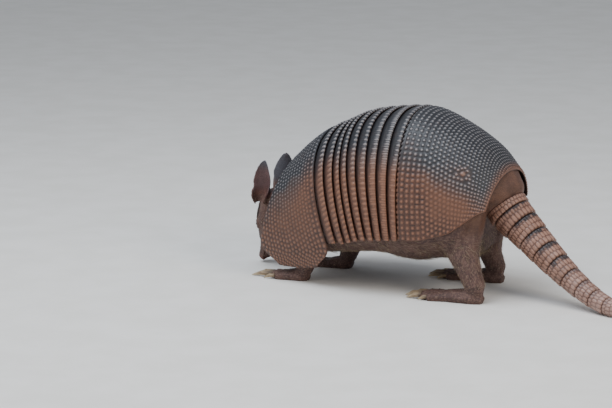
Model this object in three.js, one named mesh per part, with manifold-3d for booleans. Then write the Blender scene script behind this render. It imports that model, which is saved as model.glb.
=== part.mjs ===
// A nine-banded armadillo, life size, standing with its head down to the ground.
//
// Units are millimetres, Z is up, the head points to -X and the animal's left side is -Y.
// The shell is one smooth surface, read at two numbers: a station that counts the grooves between
// the bands (0 is the front groove, 9 the rear one), and an angle round the back from the top line.
// Plates are lifted off that surface, and the trunk fills what is left under them.

import * as THREE from 'three';
import { mergeVertices } from 'three/addons/utils/BufferGeometryUtils.js';
import Module from 'manifold-3d';

const wasm = await Module();
wasm.setup();

// ---------------------------------------------------------------- driving dimensions

const GAP = 0.3;                 // clearance between two pieces that meet
const PLATE = 2.0;               // thickness of the shell plates
const BANDS = 9;                 // movable bands
const BAND_TUCK = 0.15;          // share of a band hidden under the one before it
const ROUNDNESS = 2.25;          // power of the arches: 2 is an ellipse, more is boxier
const BEND = -0.149;             // turn of the foremost arch to the animal's right, radians
const BEND_START = 6;            // station where the bend begins
const BEND_SPAN = 11;            // stations over which it builds up

// Arches of the shell. Columns: station, place of the top along X, height of the top, depth from
// the top to the widest point, lean of the arch, half width, end angle, shift in Y, depth of the
// belly under the end of the arch.
const ARCHES = [
  [-5.0, -115.5, 140.0, 78.6, -0.28, 62.8, 2.15, 6.2, 30],
  [-2.5, -102.0, 153.4, 85.1, 0.1, 71.2, 2.15, 4.4, 40],
  [0.0, -82.6, 167.0, 91.7, 0.27, 77.8, 1.86, 2.6, 46],
  [2.0, -58.4, 178.2, 96.5, 0.23, 80.5, 1.85, 0.9, 49],
  [4.0, -43.0, 185.6, 100.9, 0.22, 81.0, 1.82, 0.3, 51],
  [6.0, -20.0, 191.0, 106.0, 0.16, 79.0, 1.78, 0.0, 53],
  [9.0, 21.9, 195.4, 110.0, 0.04, 74.5, 1.74, 0.0, 54],
  [12.5, 57.0, 185.7, 100.0, 0.0, 71.2, 1.73, 0.0, 48],
  [16.0, 100.6, 161.5, 85.9, -0.08, 64.9, 1.52, 0.0, 37],
  [19.0, 126.0, 136.0, 75.3, -0.16, 58.1, 1.09, 0.0, 14],
];
const SHIELD_FRONT = -5;         // station of the front rim of the shoulder shield
const SHIELD_END = 2.17;         // end angle of the shoulder shield, which hangs lower than the bands
const PELVIC_REAR = 19;          // station of the rim over the tail

const TAIL_RINGS = 12;
const TAIL_LENGTH = 306;         // along its curve, from the first ring to the tip
const RING_LENGTHS = [11.5, 17, 19, 20, 20.3, 20.5, 20.2, 19.4, 18.7, 17, 15, 13];
const TAIL_ROUTE = [             // centre of the tail, from inside the rump to the tip
  [107.5, 1, 109.5], [117.7, 0, 97.9], [125.1, -1, 89.1], [151.6, -5, 66.6], [182.9, -13, 42.9],
  [217.2, -23, 21.9], [250.9, -36, 10.2], [286, -46, 7.4], [330, -52, 4.9], [368, -49, 2.8],
  [388, -44, 1.5],
];
const TAIL_GIRTH = [             // distance along the tail, radius
  [0, 23.2], [11.5, 22.5], [28.5, 20.3], [47.5, 18.2], [67.5, 16.6], [88, 14.8], [108, 13.2],
  [128, 11.8], [148, 10.6], [167, 9.4], [200, 7.7], [240, 5.5], [280, 3.3], [306, 1.7],
];

const HEAD_ORIGIN = [-158.4, 2.6, 83.8];             // middle of the back of the skull
const HEAD_FORWARD = [-0.36, 0.27, -0.893];          // towards the nose
const HEAD_RIGHT = [0.259, 0.933, 0.25];             // towards the right ear
const HEAD_SECTIONS = [          // distance from the back of the skull, half width, above, below
  [-4, 9, 7, 8], [0, 15, 12, 13], [8, 19.5, 15.5, 16.5], [20, 21.5, 16, 18], [32, 21.5, 15, 17.5],
  [42, 18.5, 13, 15], [52, 14.8, 11, 12], [64, 11.4, 9, 9.6], [76, 9.2, 7.6, 7.8],
  [84, 8.6, 7.4, 6.8], [87, 8.4, 7.2, 6.4], [88, 7.4, 6.2, 5.4],
];
const EYE_RADIUS = 3.4;
const EYE_AT = [39, 16.6, 7.2];  // along the head, to the side, above its axis
const EAR_LENGTH = 46;
const EAR_BREADTH = 14;          // half of its breadth, measured round the curve of the leaf
const EAR_WALL = 1.6;
const EAR_AT = [8, 14.5, 8.5];   // along the head, to the side, above its axis
const EAR_AIM = { left: [-0.03, -0.1, 1], right: [0.05, 0.22, 0.97] };       // root to tip
const EAR_OPENS = { left: [-0.12, -1, 0.1], right: [-0.45, 1, 0.1] };        // where the funnel faces
const HEAD_SHIELD = { rear: 6, front: 64, under: -2, over: 1.3 };            // along the head, and lifts
const TOE_ROOT = 0.72;           // share of the sole in front of the ankle where the toes start
const TOE_SPLAY = 0.022;         // radians that a toe turns out for each millimetre off the middle

// ---------------------------------------------------------------- small helpers

const vec = ([x, y, z]) => new THREE.Vector3(x, y, z);
const signedPower = (value, power) => Math.sign(value) * Math.abs(value) ** power;
const clamp = THREE.MathUtils.clamp;
const smooth = THREE.MathUtils.smoothstep;
const steps = (count, from = 0, to = 1) =>
  Array.from({ length: count + 1 }, (_, i) => from + ((to - from) * i) / count);

// Reads a table whose first column is the place and whose other columns are values there.
function table(rows) {
  const width = rows[0].length - 1;
  const places = rows.map((row) => row[0]);
  const values = rows.flatMap((row) => row.slice(1));
  const reader = new THREE.CubicInterpolant(places, values, width, new Float64Array(width));
  return (place) => reader.evaluate(clamp(place, places[0], places[places.length - 1]));
}

// A closed body from points and triangles, with its faces pointing out.
function body(points, faces) {
  const geometry = new THREE.BufferGeometry();
  geometry.setAttribute('position', new THREE.Float32BufferAttribute(points.flatMap((p) => p.toArray()), 3));
  let volume = 0;
  for (const [a, b, c] of faces) {
    volume += points[a].dot(new THREE.Vector3().crossVectors(points[b], points[c]));
  }
  geometry.setIndex((volume < 0 ? faces.map(([a, b, c]) => [a, c, b]) : faces).flat());
  return geometry;
}

const middleOf = (points) =>
  points.reduce((sum, point) => sum.add(point), new THREE.Vector3()).divideScalar(points.length);

// Joins closed rings of equal length into a body with a fan over each end.
function loft(rings) {
  const count = rings[0].length;
  const points = rings.flat();
  const faces = [];
  for (let i = 0; i + 1 < rings.length; i++) {
    for (let j = 0; j < count; j++) {
      const a = i * count + j;
      const b = i * count + ((j + 1) % count);
      faces.push([a, b, b + count], [a, b + count, a + count]);
    }
  }
  for (const [ring, turn] of [[0, 1], [rings.length - 1, -1]]) {
    const hub = points.push(middleOf(rings[ring])) - 1;
    for (let j = 0; j < count; j++) {
      const a = ring * count + j;
      const b = ring * count + ((j + 1) % count);
      faces.push(turn > 0 ? [b, a, hub] : [a, b, hub]);
    }
  }
  return body(points, faces);
}

// Joins an outer and an inner grid of points into a thin plate with closed edges.
function plate(outer, inner) {
  const rows = outer.length;
  const columns = outer[0].length;
  const points = [...outer.flat(), ...inner.flat()];
  const under = rows * columns;
  const faces = [];
  const quad = (a, b, c, d) => faces.push([a, b, c], [a, c, d]);
  for (let i = 0; i + 1 < rows; i++) {
    for (let j = 0; j + 1 < columns; j++) {
      const a = i * columns + j;
      quad(a, a + 1, a + columns + 1, a + columns);
      quad(under + a, under + a + columns, under + a + columns + 1, under + a + 1);
    }
  }
  const edge = (a, b) => quad(a, under + a, under + b, b);
  for (let j = 0; j + 1 < columns; j++) {
    edge(j, j + 1);
    edge((rows - 1) * columns + j + 1, (rows - 1) * columns + j);
  }
  for (let i = 0; i + 1 < rows; i++) {
    edge((i + 1) * columns, i * columns);
    edge(i * columns + columns - 1, (i + 1) * columns + columns - 1);
  }
  return body(points, faces);
}

// One ring of a limb: a flattened round whose two halves, above and below, differ.
function ring({ at, across, up, half, above, below, sides, power = 2 }) {
  return steps(sides - 1, 0, (2 * Math.PI * (sides - 1)) / sides).map((angle) => {
    const side = signedPower(Math.sin(angle), 2 / power) * half;
    const rise = signedPower(Math.cos(angle), 2 / power) * (Math.cos(angle) > 0 ? above : below);
    return at.clone().addScaledVector(across, side).addScaledVector(up, rise);
  });
}

// A limb along stations [x, y, z, half, above, below]. `across` is the direction of its width.
function limb(stations, { across, sides, parts, grow = 0, power = 2 }) {
  const curve = new THREE.CatmullRomCurve3(stations.map(vec), false, 'centripetal');
  const last = stations.length - 1;
  const girth = table(stations.map((row, i) => [i / last, ...row.slice(3)]));
  const rings = steps(parts).map((t, i) => {
    const tangent = curve.getTangent(t);
    const up = new THREE.Vector3().crossVectors(across, tangent).normalize();
    const wide = new THREE.Vector3().crossVectors(tangent, up).normalize();
    const [half, above, below] = girth(t);
    const cap = { 0: -grow, [parts]: grow }[i] ?? 0;       // the two end faces move out as it grows
    const at = curve.getPoint(t).addScaledVector(tangent, cap);
    return ring({
      at, across: wide, up, sides, power, half: half + grow, above: above + grow, below: below + grow,
    });
  });
  return loft(rings);
}

// Booleans, on closed geometries.
function solid(geometry) {
  const bare = new THREE.BufferGeometry();
  bare.setAttribute('position', geometry.getAttribute('position').clone());
  bare.setIndex(geometry.index ? geometry.index.clone() : null);
  const merged = mergeVertices(bare, 1e-3);
  return new wasm.Manifold(new wasm.Mesh({
    numProp: 3,
    vertProperties: new Float32Array(merged.getAttribute('position').array),
    triVerts: new Uint32Array(merged.index.array),
  }));
}

function surface(manifold) {
  const mesh = manifold.getMesh();
  const geometry = new THREE.BufferGeometry();
  geometry.setAttribute('position', new THREE.BufferAttribute(mesh.vertProperties, 3));
  geometry.setIndex(new THREE.BufferAttribute(mesh.triVerts, 1));
  return geometry;
}

const join = (...pieces) => surface(pieces.map(solid).reduce((all, one) => all.add(one)));
const cut = (piece, ...tools) =>
  surface(tools.map(solid).reduce((rest, tool) => rest.subtract(tool), solid(piece)));

// The largest body that is left of a cut, without the crumbs.
function largest(geometry) {
  const bodies = solid(geometry).decompose();
  bodies.sort((a, b) => b.volume() - a.volume());
  return surface(bodies[0]);
}

// A block below the floor, larger than the animal, which cuts soles and tail flat.
const FLOOR = new THREE.BoxGeometry(1200, 600, 100).translate(0, 0, -50);

// ---------------------------------------------------------------- the shell surface

const arches = table(ARCHES);
const turnAt = (station) => BEND * clamp((BEND_START - station) / BEND_SPAN, 0, 1.2);

function shellPoint(station, angle, inset = 0) {
  const [x, top, depth, lean, half, , shift] = arches(station);
  const turn = turnAt(station);
  const side = (half - inset) * signedPower(Math.sin(angle), 2 / ROUNDNESS);
  const rise = (depth - inset) * signedPower(Math.cos(angle), 2 / ROUNDNESS) - depth;
  const along = -rise * Math.sin(lean);
  return new THREE.Vector3(
    x + along * Math.cos(turn) - side * Math.sin(turn),
    shift + along * Math.sin(turn) + side * Math.cos(turn),
    top + rise * Math.cos(lean),
  );
}

const archEnd = (station) => arches(station)[5];

// A plate over a share of the shell. `profile` lists [share of its length, depth of its top side].
function shellPlate({ front, rear, end, profile, segments, thickness = PLATE }) {
  const lay = (extra) => steps(segments, -1, 1).map((share) => profile.map(([along, inset]) => {
    const angle = share * end(along);
    const station = THREE.MathUtils.lerp(front(angle), rear(angle), along);
    return shellPoint(station, angle, inset + extra);
  }));
  return plate(lay(0), lay(thickness));
}

function band(number) {
  const start = number - 1;
  return shellPlate({
    front: () => start,
    rear: () => start + 0.975,
    end: (along) => archEnd(start + along),
    profile: [[-BAND_TUCK, 3.5], [0.2, 0.6], [0.98, 0]],
    segments: 14,
  });
}

function shoulderShield() {
  // The lower rear corner and the lower front corner are rounded off.
  const rear = (angle) => -0.03 - 1.5 * smooth(Math.abs(angle), 1.8, SHIELD_END) ** 2;
  const front = (angle) => SHIELD_FRONT + 0.3 * Math.exp(-((angle / 0.45) ** 2))
    + 1.1 * smooth(Math.abs(angle), 1.75, SHIELD_END) ** 2;
  return shellPlate({
    front, rear, end: () => SHIELD_END, profile: steps(5).map((along) => [along, 0]), segments: 18,
  });
}

function pelvicShield(grow = 0) {
  const front = BANDS + 0.02;
  const tuck = [[-0.02, 3.3], [0.0, 3.0], [0.022, 0.6]].map(([along, inset]) => [along, inset - grow]);
  const length = PELVIC_REAR - front;
  return shellPlate({
    front: () => front,
    rear: () => PELVIC_REAR,
    end: (along) => archEnd(front + length * along),
    profile: [...tuck, ...steps(5, 0.14, 1).map((along) => [along, -grow])],
    thickness: PLATE + 2 * grow,
    segments: 16,
  });
}

// ---------------------------------------------------------------- trunk

const TRUNK_INSET = 6.3;         // below the plates and the tucked edges of the bands
const TRUNK_SIDES = 20;
const RUMP_START = 15.6;         // station where the rump starts to close on the tail
const RUMP_SWELL = 0.13;         // how much fuller than straight it is half way

function trunkRing(station, grow, shrink = 0) {
  const inset = TRUNK_INSET + shrink - grow;
  const [, , , lean, , end, , belly] = arches(station);
  const turn = turnAt(station);
  const arc = Math.min(end, Math.PI / 2);
  const ahead = new THREE.Vector3(Math.cos(turn), Math.sin(turn), 0);
  const down = ahead.multiplyScalar(Math.sin(lean)).setZ(-Math.cos(lean));
  const over = steps(TRUNK_SIDES / 2, -arc, arc).map((angle) => shellPoint(station, angle, inset));
  const left = over[0];
  const right = over[over.length - 1];
  const middle = left.clone().lerp(right, 0.5);
  const half = right.clone().sub(left).divideScalar(2);
  const under = steps(TRUNK_SIDES / 2, 0, Math.PI).slice(1, -1).map((angle) => middle.clone()
    .addScaledVector(half, signedPower(Math.cos(angle), 0.85))
    .addScaledVector(down, (belly - shrink + grow) * signedPower(Math.sin(angle), 0.85)));
  return [...over, ...under];
}

const tailCurve = new THREE.CatmullRomCurve3(TAIL_ROUTE.map(vec), false, 'centripetal');
tailCurve.arcLengthDivisions = 600;
const tailWhole = tailCurve.getLength();
const tailStart = tailWhole - TAIL_LENGTH;
const tailRadius = table(TAIL_GIRTH);

// A ring across the tail at a distance along it. It starts at the top and has `sides` points.
function tailRing(distance, scale, sides, grow = 0) {
  const t = clamp((tailStart + distance) / tailWhole, 0, 1);
  const tangent = tailCurve.getTangentAt(t);
  const across = new THREE.Vector3(0, -1, 0);
  const up = new THREE.Vector3().crossVectors(across, tangent).normalize();
  const wide = new THREE.Vector3().crossVectors(tangent, up).normalize();
  const radius = tailRadius(distance)[0] * scale + grow;
  return ring({
    at: tailCurve.getPointAt(t), across: wide, up, half: radius, above: radius, below: radius, sides,
  });
}

function trunk(grow = 0) {
  // The chest is rounded off inside the front rim of the shoulder shield.
  const chest = [[-4.7 - grow / 6, 22], [-4.3, 9], [-3.3, 1.5]].map(([station, shrink]) =>
    trunkRing(station, grow, shrink));
  const rings = [...chest, ...steps(8, -2, RUMP_START).map((station) => trunkRing(station, grow))];
  rings.push(trunkRing(RUMP_START + 0.05 + grow / 6, grow));
  // The rump closes on the root of the tail, whose rings are read the same way round as the trunk's.
  const root = (distance, scale) => {
    const points = tailRing(distance, scale, TRUNK_SIDES, grow);
    return points.map((_, i) => points[(1.25 * TRUNK_SIDES - i) % TRUNK_SIDES]);
  };
  const last = rings[rings.length - 1];
  const collar = root(3 * grow - 6, 1.22);
  const halfway = collar.map((point, i) => point.clone().lerp(last[i], 0.5));
  const hub = middleOf(halfway);
  rings.push(halfway.map((point) => point.clone().lerp(hub, -RUMP_SWELL)), collar, root(4, 0.88));
  return loft(rings);
}

// ---------------------------------------------------------------- tail

// Tail rings widen a little to the rear, so that each covers the front of the next.
function tailPiece(number, grow = 0) {
  const start = RING_LENGTHS.slice(0, number - 1).reduce((sum, length) => sum + length, 0);
  const end = start + RING_LENGTHS[number - 1];
  const length = end - start;
  const rings = [
    tailRing(start - grow, 0.94, 12, grow),
    tailRing(start + length * 0.25, 0.99, 12, grow),
    tailRing(end - GAP, 1.02, 12, grow),
  ];
  return cut(loft(rings), FLOOR);
}

function tailTip() {
  const start = RING_LENGTHS.reduce((sum, length) => sum + length, 0);
  const rings = steps(6, start, TAIL_LENGTH - 1.2).map((d) => tailRing(d, 0.99, 8));
  rings.push(tailRing(TAIL_LENGTH, 0.45, 8));
  return cut(loft(rings), FLOOR);
}

// ---------------------------------------------------------------- head

const headForward = vec(HEAD_FORWARD).normalize();
const headRight = vec(HEAD_RIGHT).addScaledVector(headForward, -vec(HEAD_RIGHT).dot(headForward)).normalize();
const headUp = new THREE.Vector3().crossVectors(headRight, headForward);
const headSections = table(HEAD_SECTIONS);

const headPlace = ([along, side, above]) => vec(HEAD_ORIGIN)
  .addScaledVector(headForward, along).addScaledVector(headRight, side).addScaledVector(headUp, above);

function headPoint(along, angle, lift = 0) {
  const [half, above, below] = headSections(along);
  const rise = Math.cos(angle) > 0 ? above : below;
  return headPlace([along, Math.sin(angle) * (half + lift), Math.cos(angle) * (rise + lift)]);
}

function skull(grow = 0) {
  const first = HEAD_SECTIONS[0][0];
  const last = HEAD_SECTIONS[HEAD_SECTIONS.length - 1][0];
  const sides = 12;
  const places = [first, 1, 9, 20, 31, 41, 51, 64, 77, 86, last];
  return loft(places.map((along, i) => {
    const push = i === 0 ? -grow : i === places.length - 1 ? grow : 0;
    return steps(sides - 1, 0, (2 * Math.PI * (sides - 1)) / sides).map((angle) =>
      headPoint(along, angle, grow).addScaledVector(headForward, push));
  }));
}

function eyeball(side, grow = 0) {
  const [along, out, above] = EYE_AT;
  const at = headPlace([along, out * side, above]);
  return new THREE.SphereGeometry(EYE_RADIUS + grow, 10, 6).translate(at.x, at.y, at.z);
}

// The horny shield from between the ears to the middle of the snout, widest over the eyes.
function headShieldRaw(grow = 0, widen = 0) {
  const { rear, front, under, over } = HEAD_SHIELD;
  const lay = (lift) => steps(5).map((share) => {
    const along = THREE.MathUtils.lerp(rear, front, share);
    const reach = widen + 0.42 + 0.42 * Math.sin(Math.PI * share) ** 0.8 + 0.12 * share;
    // Both ends are bowed, so that the corners stay rounded.
    const bow = THREE.MathUtils.lerp(-2.5, 2, share);
    return steps(6, -1, 1).map((s) => headPoint(along + bow * s * s, s * reach, lift));
  });
  return plate(lay(over + grow), lay(under));
}

// An ear is a leaf rolled into a funnel: nearly a tube at its base and open further up.
function ear(side) {
  const name = side < 0 ? 'left' : 'right';
  const root = headPlace([EAR_AT[0], EAR_AT[1] * side, EAR_AT[2]]);
  const aim = vec(EAR_AIM[name]).normalize();
  const facing = vec(EAR_OPENS[name]);
  facing.addScaledVector(aim, -facing.dot(aim)).normalize();
  const across = new THREE.Vector3().crossVectors(aim, facing);
  const lay = (wall) => steps(6).map((t) => {
    const breadth = EAR_BREADTH * Math.sin(Math.PI * (0.17 + 0.83 * t) ** 0.92) ** 0.6 + 1.2;
    const open = THREE.MathUtils.lerp(2.5, 1.05, smooth(t, 0, 0.55));      // half angle of the roll
    const radius = breadth / Math.min(open, 1.35);
    const sunk = 6 + 3 * t * t;                                            // back of the leaf behind its root
    const hub = root.clone().addScaledVector(aim, EAR_LENGTH * t - 3).addScaledVector(facing, radius - sunk);
    return steps(6, -1, 1).map((s) => hub.clone()
      .addScaledVector(facing, -Math.cos(s * open) * (radius - wall))
      .addScaledVector(across, Math.sin(s * open) * (radius - wall)));
  });
  return plate(lay(0), lay(EAR_WALL));
}

// The neck runs from inside the trunk to inside the skull.
function neckRaw(grow = 0) {
  const back = headPlace([10, 0, -1]);
  return limb([
    [-104, 5, 86, 56, 40, 46],
    [-124, 5, 85, 45, 33, 38],
    [-144, 4, 84, 28, 22, 26],
    [back.x, back.y, back.z, 16, 12, 14],
  ], { across: new THREE.Vector3(0, 1, 0), sides: 12, parts: 3, grow });
}

// ---------------------------------------------------------------- legs, feet and claws

const ACROSS = new THREE.Vector3(0, 1, 0);

// Each leg is a chain from inside the trunk down to the heel or wrist. `side` is -1 on the left.
function hindLeg(side, stride, grow = 0) {
  return limb([
    [90 + stride * 0.2, side * 33, 98, 17, 28, 22],
    [90 + stride * 0.4, side * 40, 74, 17, 25, 20],
    [90 + stride * 0.7, side * 46, 50, 15, 18, 18],
    [99 + stride, side * 49, 31, 12, 12, 13],
    [105 + stride, side * 50, 17, 10.5, 11, 11.5],
    [104 + stride, side * 50, 8, 9, 9, 9],
  ], { across: ACROSS, sides: 9, parts: 5, grow });
}

function foreLeg(side, stride, grow = 0) {
  return limb([
    [-98 + stride * 0.2, side * 30, 84, 16, 22, 22],
    [-94 + stride * 0.4, side * 35, 64, 15, 18, 19],
    [-93 + stride * 0.7, side * 38, 44, 12.5, 14, 15],
    [-98 + stride, side * 38, 27, 10.5, 10.5, 11],
    [-104 + stride, side * 38, 14, 9.5, 9.5, 9.5],
    [-106 + stride, side * 38, 8, 8, 8, 8],
  ], { across: ACROSS, sides: 9, parts: 5, grow });
}

// Toes are listed from the inner to the outer one: sideways place, length, radius, claw length.
const HIND_FOOT = {
  heel: 10, sole: 44, half: 12.5, height: 12,
  toes: [
    { out: -11.5, length: 8, radius: 4.2, claw: 11 },
    { out: -6, length: 15, radius: 5.0, claw: 17 },
    { out: 0.8, length: 17, radius: 5.4, claw: 19 },
    { out: 7.4, length: 14, radius: 4.9, claw: 16 },
    { out: 12.2, length: 5, radius: 4.0, claw: 10 },
  ],
};
const FORE_FOOT = {
  heel: 7, sole: 24, half: 11.5, height: 10.5,
  toes: [
    { out: -9.6, length: 8, radius: 4.1, claw: 14 },
    { out: -3.4, length: 13, radius: 4.9, claw: 24 },
    { out: 3.6, length: 12.5, radius: 5.0, claw: 25 },
    { out: 9.9, length: 6, radius: 4.0, claw: 13 },
  ],
};

function toePlace(foot, toe, ankle, side) {
  const splay = toe.out * TOE_SPLAY;
  const start = new THREE.Vector3(ankle.x - foot.sole * TOE_ROOT, ankle.y + side * toe.out * TOE_ROOT, 0);
  const ahead = new THREE.Vector3(-Math.cos(splay), side * Math.sin(splay), 0);
  return { start, ahead, reach: foot.sole * (1 - TOE_ROOT) + toe.length };
}

function footRaw(foot, ankle, side, grow = 0) {
  const { heel, sole, half, height } = foot;
  const sheet = limb([
    [ankle.x + heel, ankle.y, 4, 5, 3.5, 6],
    [ankle.x + heel * 0.5, ankle.y, 5.5, half * 0.78, height * 0.8, 9],
    [ankle.x - sole * 0.3, ankle.y, 5.5, half * 0.92, height * 0.75, 9],
    [ankle.x - sole * 0.75, ankle.y, 4.5, half, height * 0.5, 8],
    [ankle.x - sole, ankle.y, 4, half * 0.9, height * 0.34, 7],
  ], { across: ACROSS, sides: 8, parts: 3, grow });
  const toes = foot.toes.map((toe) => {
    const { start, ahead, reach } = toePlace(foot, toe, ankle, side);
    const point = (share, rise) => start.clone().addScaledVector(ahead, reach * share).setZ(rise);
    const r = toe.radius;
    return limb([
      [...point(0, 4.2), r * 0.9, r, 7], [...point(0.55, 4.4), r, r, 7],
      [...point(0.9, 3.6), r * 0.92, r * 0.9, 7], [...point(1, 3.4), r * 0.6, r * 0.6, 4],
    ], { across: ACROSS, sides: 5, parts: 2, grow });
  });
  return join(sheet, ...toes);
}

function claw(foot, toe, ankle, side) {
  const { start, ahead, reach } = toePlace(foot, toe, ankle, side);
  const hidden = 4;                // length of its root inside the toe
  const point = (share, rise) =>
    start.clone().addScaledVector(ahead, reach - hidden + (toe.claw + hidden) * share).setZ(rise);
  const r = toe.radius * 0.62;
  return limb([
    [...point(0, 4.6), r, r, r], [...point(0.4, 4.5), r * 0.95, r * 1.0, r],
    [...point(0.75, 2.9), r * 0.62, r * 0.66, r * 0.7], [...point(1, 0.85), 0.5, 0.6, 0.6],
  ], { across: ACROSS, sides: 5, parts: 2 });
}

// ---------------------------------------------------------------- putting it together

const FINISH = {
  plate: { color: 0x6b5d54, roughness: 0.5, metalness: 0 },
  tail: { color: 0x9a7f6c, roughness: 0.55, metalness: 0 },
  skin: { color: 0x7a5a4c, roughness: 0.75, metalness: 0 },
  ear: { color: 0x6e4c42, roughness: 0.7, metalness: 0 },
  eye: { color: 0x0c0a09, roughness: 0.08, metalness: 0 },
  claw: { color: 0xb9a68c, roughness: 0.4, metalness: 0 },
};

const armadillo = new THREE.Group();

function add(name, geometry, finish) {
  const mesh = new THREE.Mesh(geometry, new THREE.MeshStandardMaterial(FINISH[finish]));
  mesh.name = name;
  armadillo.add(mesh);
}

add('shield_scapular', shoulderShield(), 'plate');
for (let number = 1; number <= BANDS; number++) add(`band_${number}`, band(number), 'plate');
add('shield_pelvic', pelvicShield(), 'plate');
for (let number = 1; number <= TAIL_RINGS; number++) add(`tail_ring_${number}`, tailPiece(number), 'tail');
add('tail_tip', tailTip(), 'tail');

const TRUNK_ROOM = 2.5 * GAP;    // the flat facets of legs and neck need more clearance than GAP here
const trunkRoom = trunk(TRUNK_ROOM);
add('trunk', largest(cut(trunk(), tailPiece(1, GAP), pelvicShield(GAP))), 'skin');

const skullGrown = skull(GAP);
const eyeRoom = [eyeball(-1, GAP), eyeball(1, GAP)];
add('head_shield', largest(cut(headShieldRaw(), skullGrown, ...eyeRoom)), 'plate');
add('head', cut(skull(), ...eyeRoom), 'skin');
for (const [side, name] of [[-1, 'left'], [1, 'right']]) {
  add(`eye_${name}`, eyeball(side), 'eye');
  add(`ear_${name}`, largest(cut(ear(side), skullGrown, headShieldRaw(GAP, 0.05))), 'ear');
}
const earsAndHead = [skullGrown, ear(-1), ear(1)];
add('neck', largest(cut(neckRaw(), trunkRoom, ...earsAndHead)), 'skin');

const STANCE = [
  { name: 'hind', leg: hindLeg, foot: HIND_FOOT, ankle: [104, 50], strides: { left: 2, right: -22 } },
  { name: 'fore', leg: foreLeg, foot: FORE_FOOT, ankle: [-106, 38], strides: { left: 0, right: 12 } },
];
for (const { name, leg, foot, ankle, strides } of STANCE) {
  for (const [side, label] of [[-1, 'left'], [1, 'right']]) {
    const stride = strides[label];
    const at = new THREE.Vector3(ankle[0] + stride, side * ankle[1], 0);
    const paw = cut(footRaw(foot, at, side), FLOOR);
    const pawGrown = footRaw(foot, at, side, GAP);
    add(`${name}foot_${label}`, paw, 'skin');
    add(`${name}leg_${label}`, largest(cut(leg(side, stride), trunkRoom, pawGrown)), 'skin');
    foot.toes.forEach((toe, i) => {
      add(`claw_${name}_${label}_${i + 1}`, largest(cut(claw(foot, toe, at, side), pawGrown, FLOOR)), 'claw');
    });
  }
}

// The origin is the middle of the box on the floor.
const box = new THREE.Box3().setFromObject(armadillo);
armadillo.position.set(-(box.min.x + box.max.x) / 2, -(box.min.y + box.max.y) / 2, -box.min.z);

export default armadillo;
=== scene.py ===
# %% [markdown]
# # A nine-banded armadillo, dressed over its packed solids
# The solids of the animal arrive already at their real size and place. This lesson gives each of them
# its finished surface: horny plates with real scutes, one skin over all the flesh, wet eyes, claws and
# a few bristles. Loading comes first, because every later piece is placed by what is loaded here.

# %% Load the solids and note their outer box
import math

import bmesh
import bpy
import numpy as np
from mathutils import Matrix, Vector, noise
from mathutils.bvhtree import BVHTree
from mathutils.kdtree import KDTree


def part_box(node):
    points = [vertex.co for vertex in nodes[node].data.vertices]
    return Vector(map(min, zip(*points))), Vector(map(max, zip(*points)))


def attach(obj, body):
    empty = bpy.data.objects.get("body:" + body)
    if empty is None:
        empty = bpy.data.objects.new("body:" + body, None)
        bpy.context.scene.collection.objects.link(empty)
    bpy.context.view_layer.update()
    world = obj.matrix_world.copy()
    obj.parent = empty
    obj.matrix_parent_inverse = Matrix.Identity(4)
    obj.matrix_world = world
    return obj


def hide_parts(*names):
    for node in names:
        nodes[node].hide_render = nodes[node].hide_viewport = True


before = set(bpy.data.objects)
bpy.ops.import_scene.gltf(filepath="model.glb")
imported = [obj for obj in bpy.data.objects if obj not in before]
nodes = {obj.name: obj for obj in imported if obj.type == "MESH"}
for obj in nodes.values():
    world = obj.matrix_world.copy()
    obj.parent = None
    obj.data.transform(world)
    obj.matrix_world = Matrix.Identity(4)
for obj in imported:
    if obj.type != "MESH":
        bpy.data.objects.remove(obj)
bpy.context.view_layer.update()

# %% [markdown]
# ## Camera
# A long lens from a few metres away keeps the animal's proportions true, as a field telephoto does. The
# camera is described by where it stands round the animal and by where the middle of the body's own
# frame falls in a picture 612 pixels wide, and a small turn of the head does the framing, so no lens
# shift is needed.

# %% Stand the camera round the animal and turn it to frame the body
MM = 0.001
MIDDLE = np.array([-95.98, 0.33, 0.0])  # from the shell's own origin to the middle of the whole box
PICTURE = (612, 408)
SENSOR_WIDE = 36.0
AZIMUTH, ELEVATION = 27.5, 12.8
DISTANCE = 3.2
PIXELS_PER_RADIAN = 2963.0
ORIGIN_PIXEL = (406.0, 283.1)


def direction(azimuth, elevation):
    """The way out from the body, in degrees round from its left side towards the tail and degrees up."""
    turn, lift = math.radians(azimuth), math.radians(elevation)
    return Vector((math.sin(turn) * math.cos(lift), -math.cos(turn) * math.cos(lift), math.sin(lift)))


def stand(name, data):
    """A new object in the scene."""
    made = bpy.data.objects.new(name, data)
    bpy.context.scene.collection.objects.link(made)
    return made


def stand_camera():
    """The camera looks from AZIMUTH and ELEVATION, and its aim puts the shell's origin at ORIGIN_PIXEL."""
    away = direction(AZIMUTH, ELEVATION)
    right = Vector((math.cos(math.radians(AZIMUTH)), math.sin(math.radians(AZIMUTH)), 0))
    up = away.cross(right)
    aside = (PICTURE[0] / 2 - ORIGIN_PIXEL[0]) / PIXELS_PER_RADIAN
    above = (ORIGIN_PIXEL[1] - PICTURE[1] / 2) / PIXELS_PER_RADIAN
    back = (away - right * aside - up * above).normalized()
    right = (right - back * right.dot(back)).normalized()
    turn = Matrix((right, back.cross(right), back)).transposed().to_4x4()
    camera = stand("view", bpy.data.cameras.new("view"))
    camera.data.sensor_width = SENSOR_WIDE
    camera.data.lens = PIXELS_PER_RADIAN / PICTURE[0] * SENSOR_WIDE
    camera.data.clip_end = 20
    camera.matrix_world = Matrix.Translation(Vector(MIDDLE * MM) + away * DISTANCE) @ turn
    bpy.context.scene.camera = camera
    return camera


camera = stand_camera()
print("camera at", [round(c, 3) for c in camera.location], "lens", round(camera.data.lens, 1))

# %% [markdown]
# ## Shader sums
# A material is a small sum over the surface: how far up the flank, how near the middle of a scute, how
# much dirt. Written as nodes by hand such a sum is long and hard to read. The class below wraps one
# socket, so that a sum is written as ordinary arithmetic and each sign adds its Math node.

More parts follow.
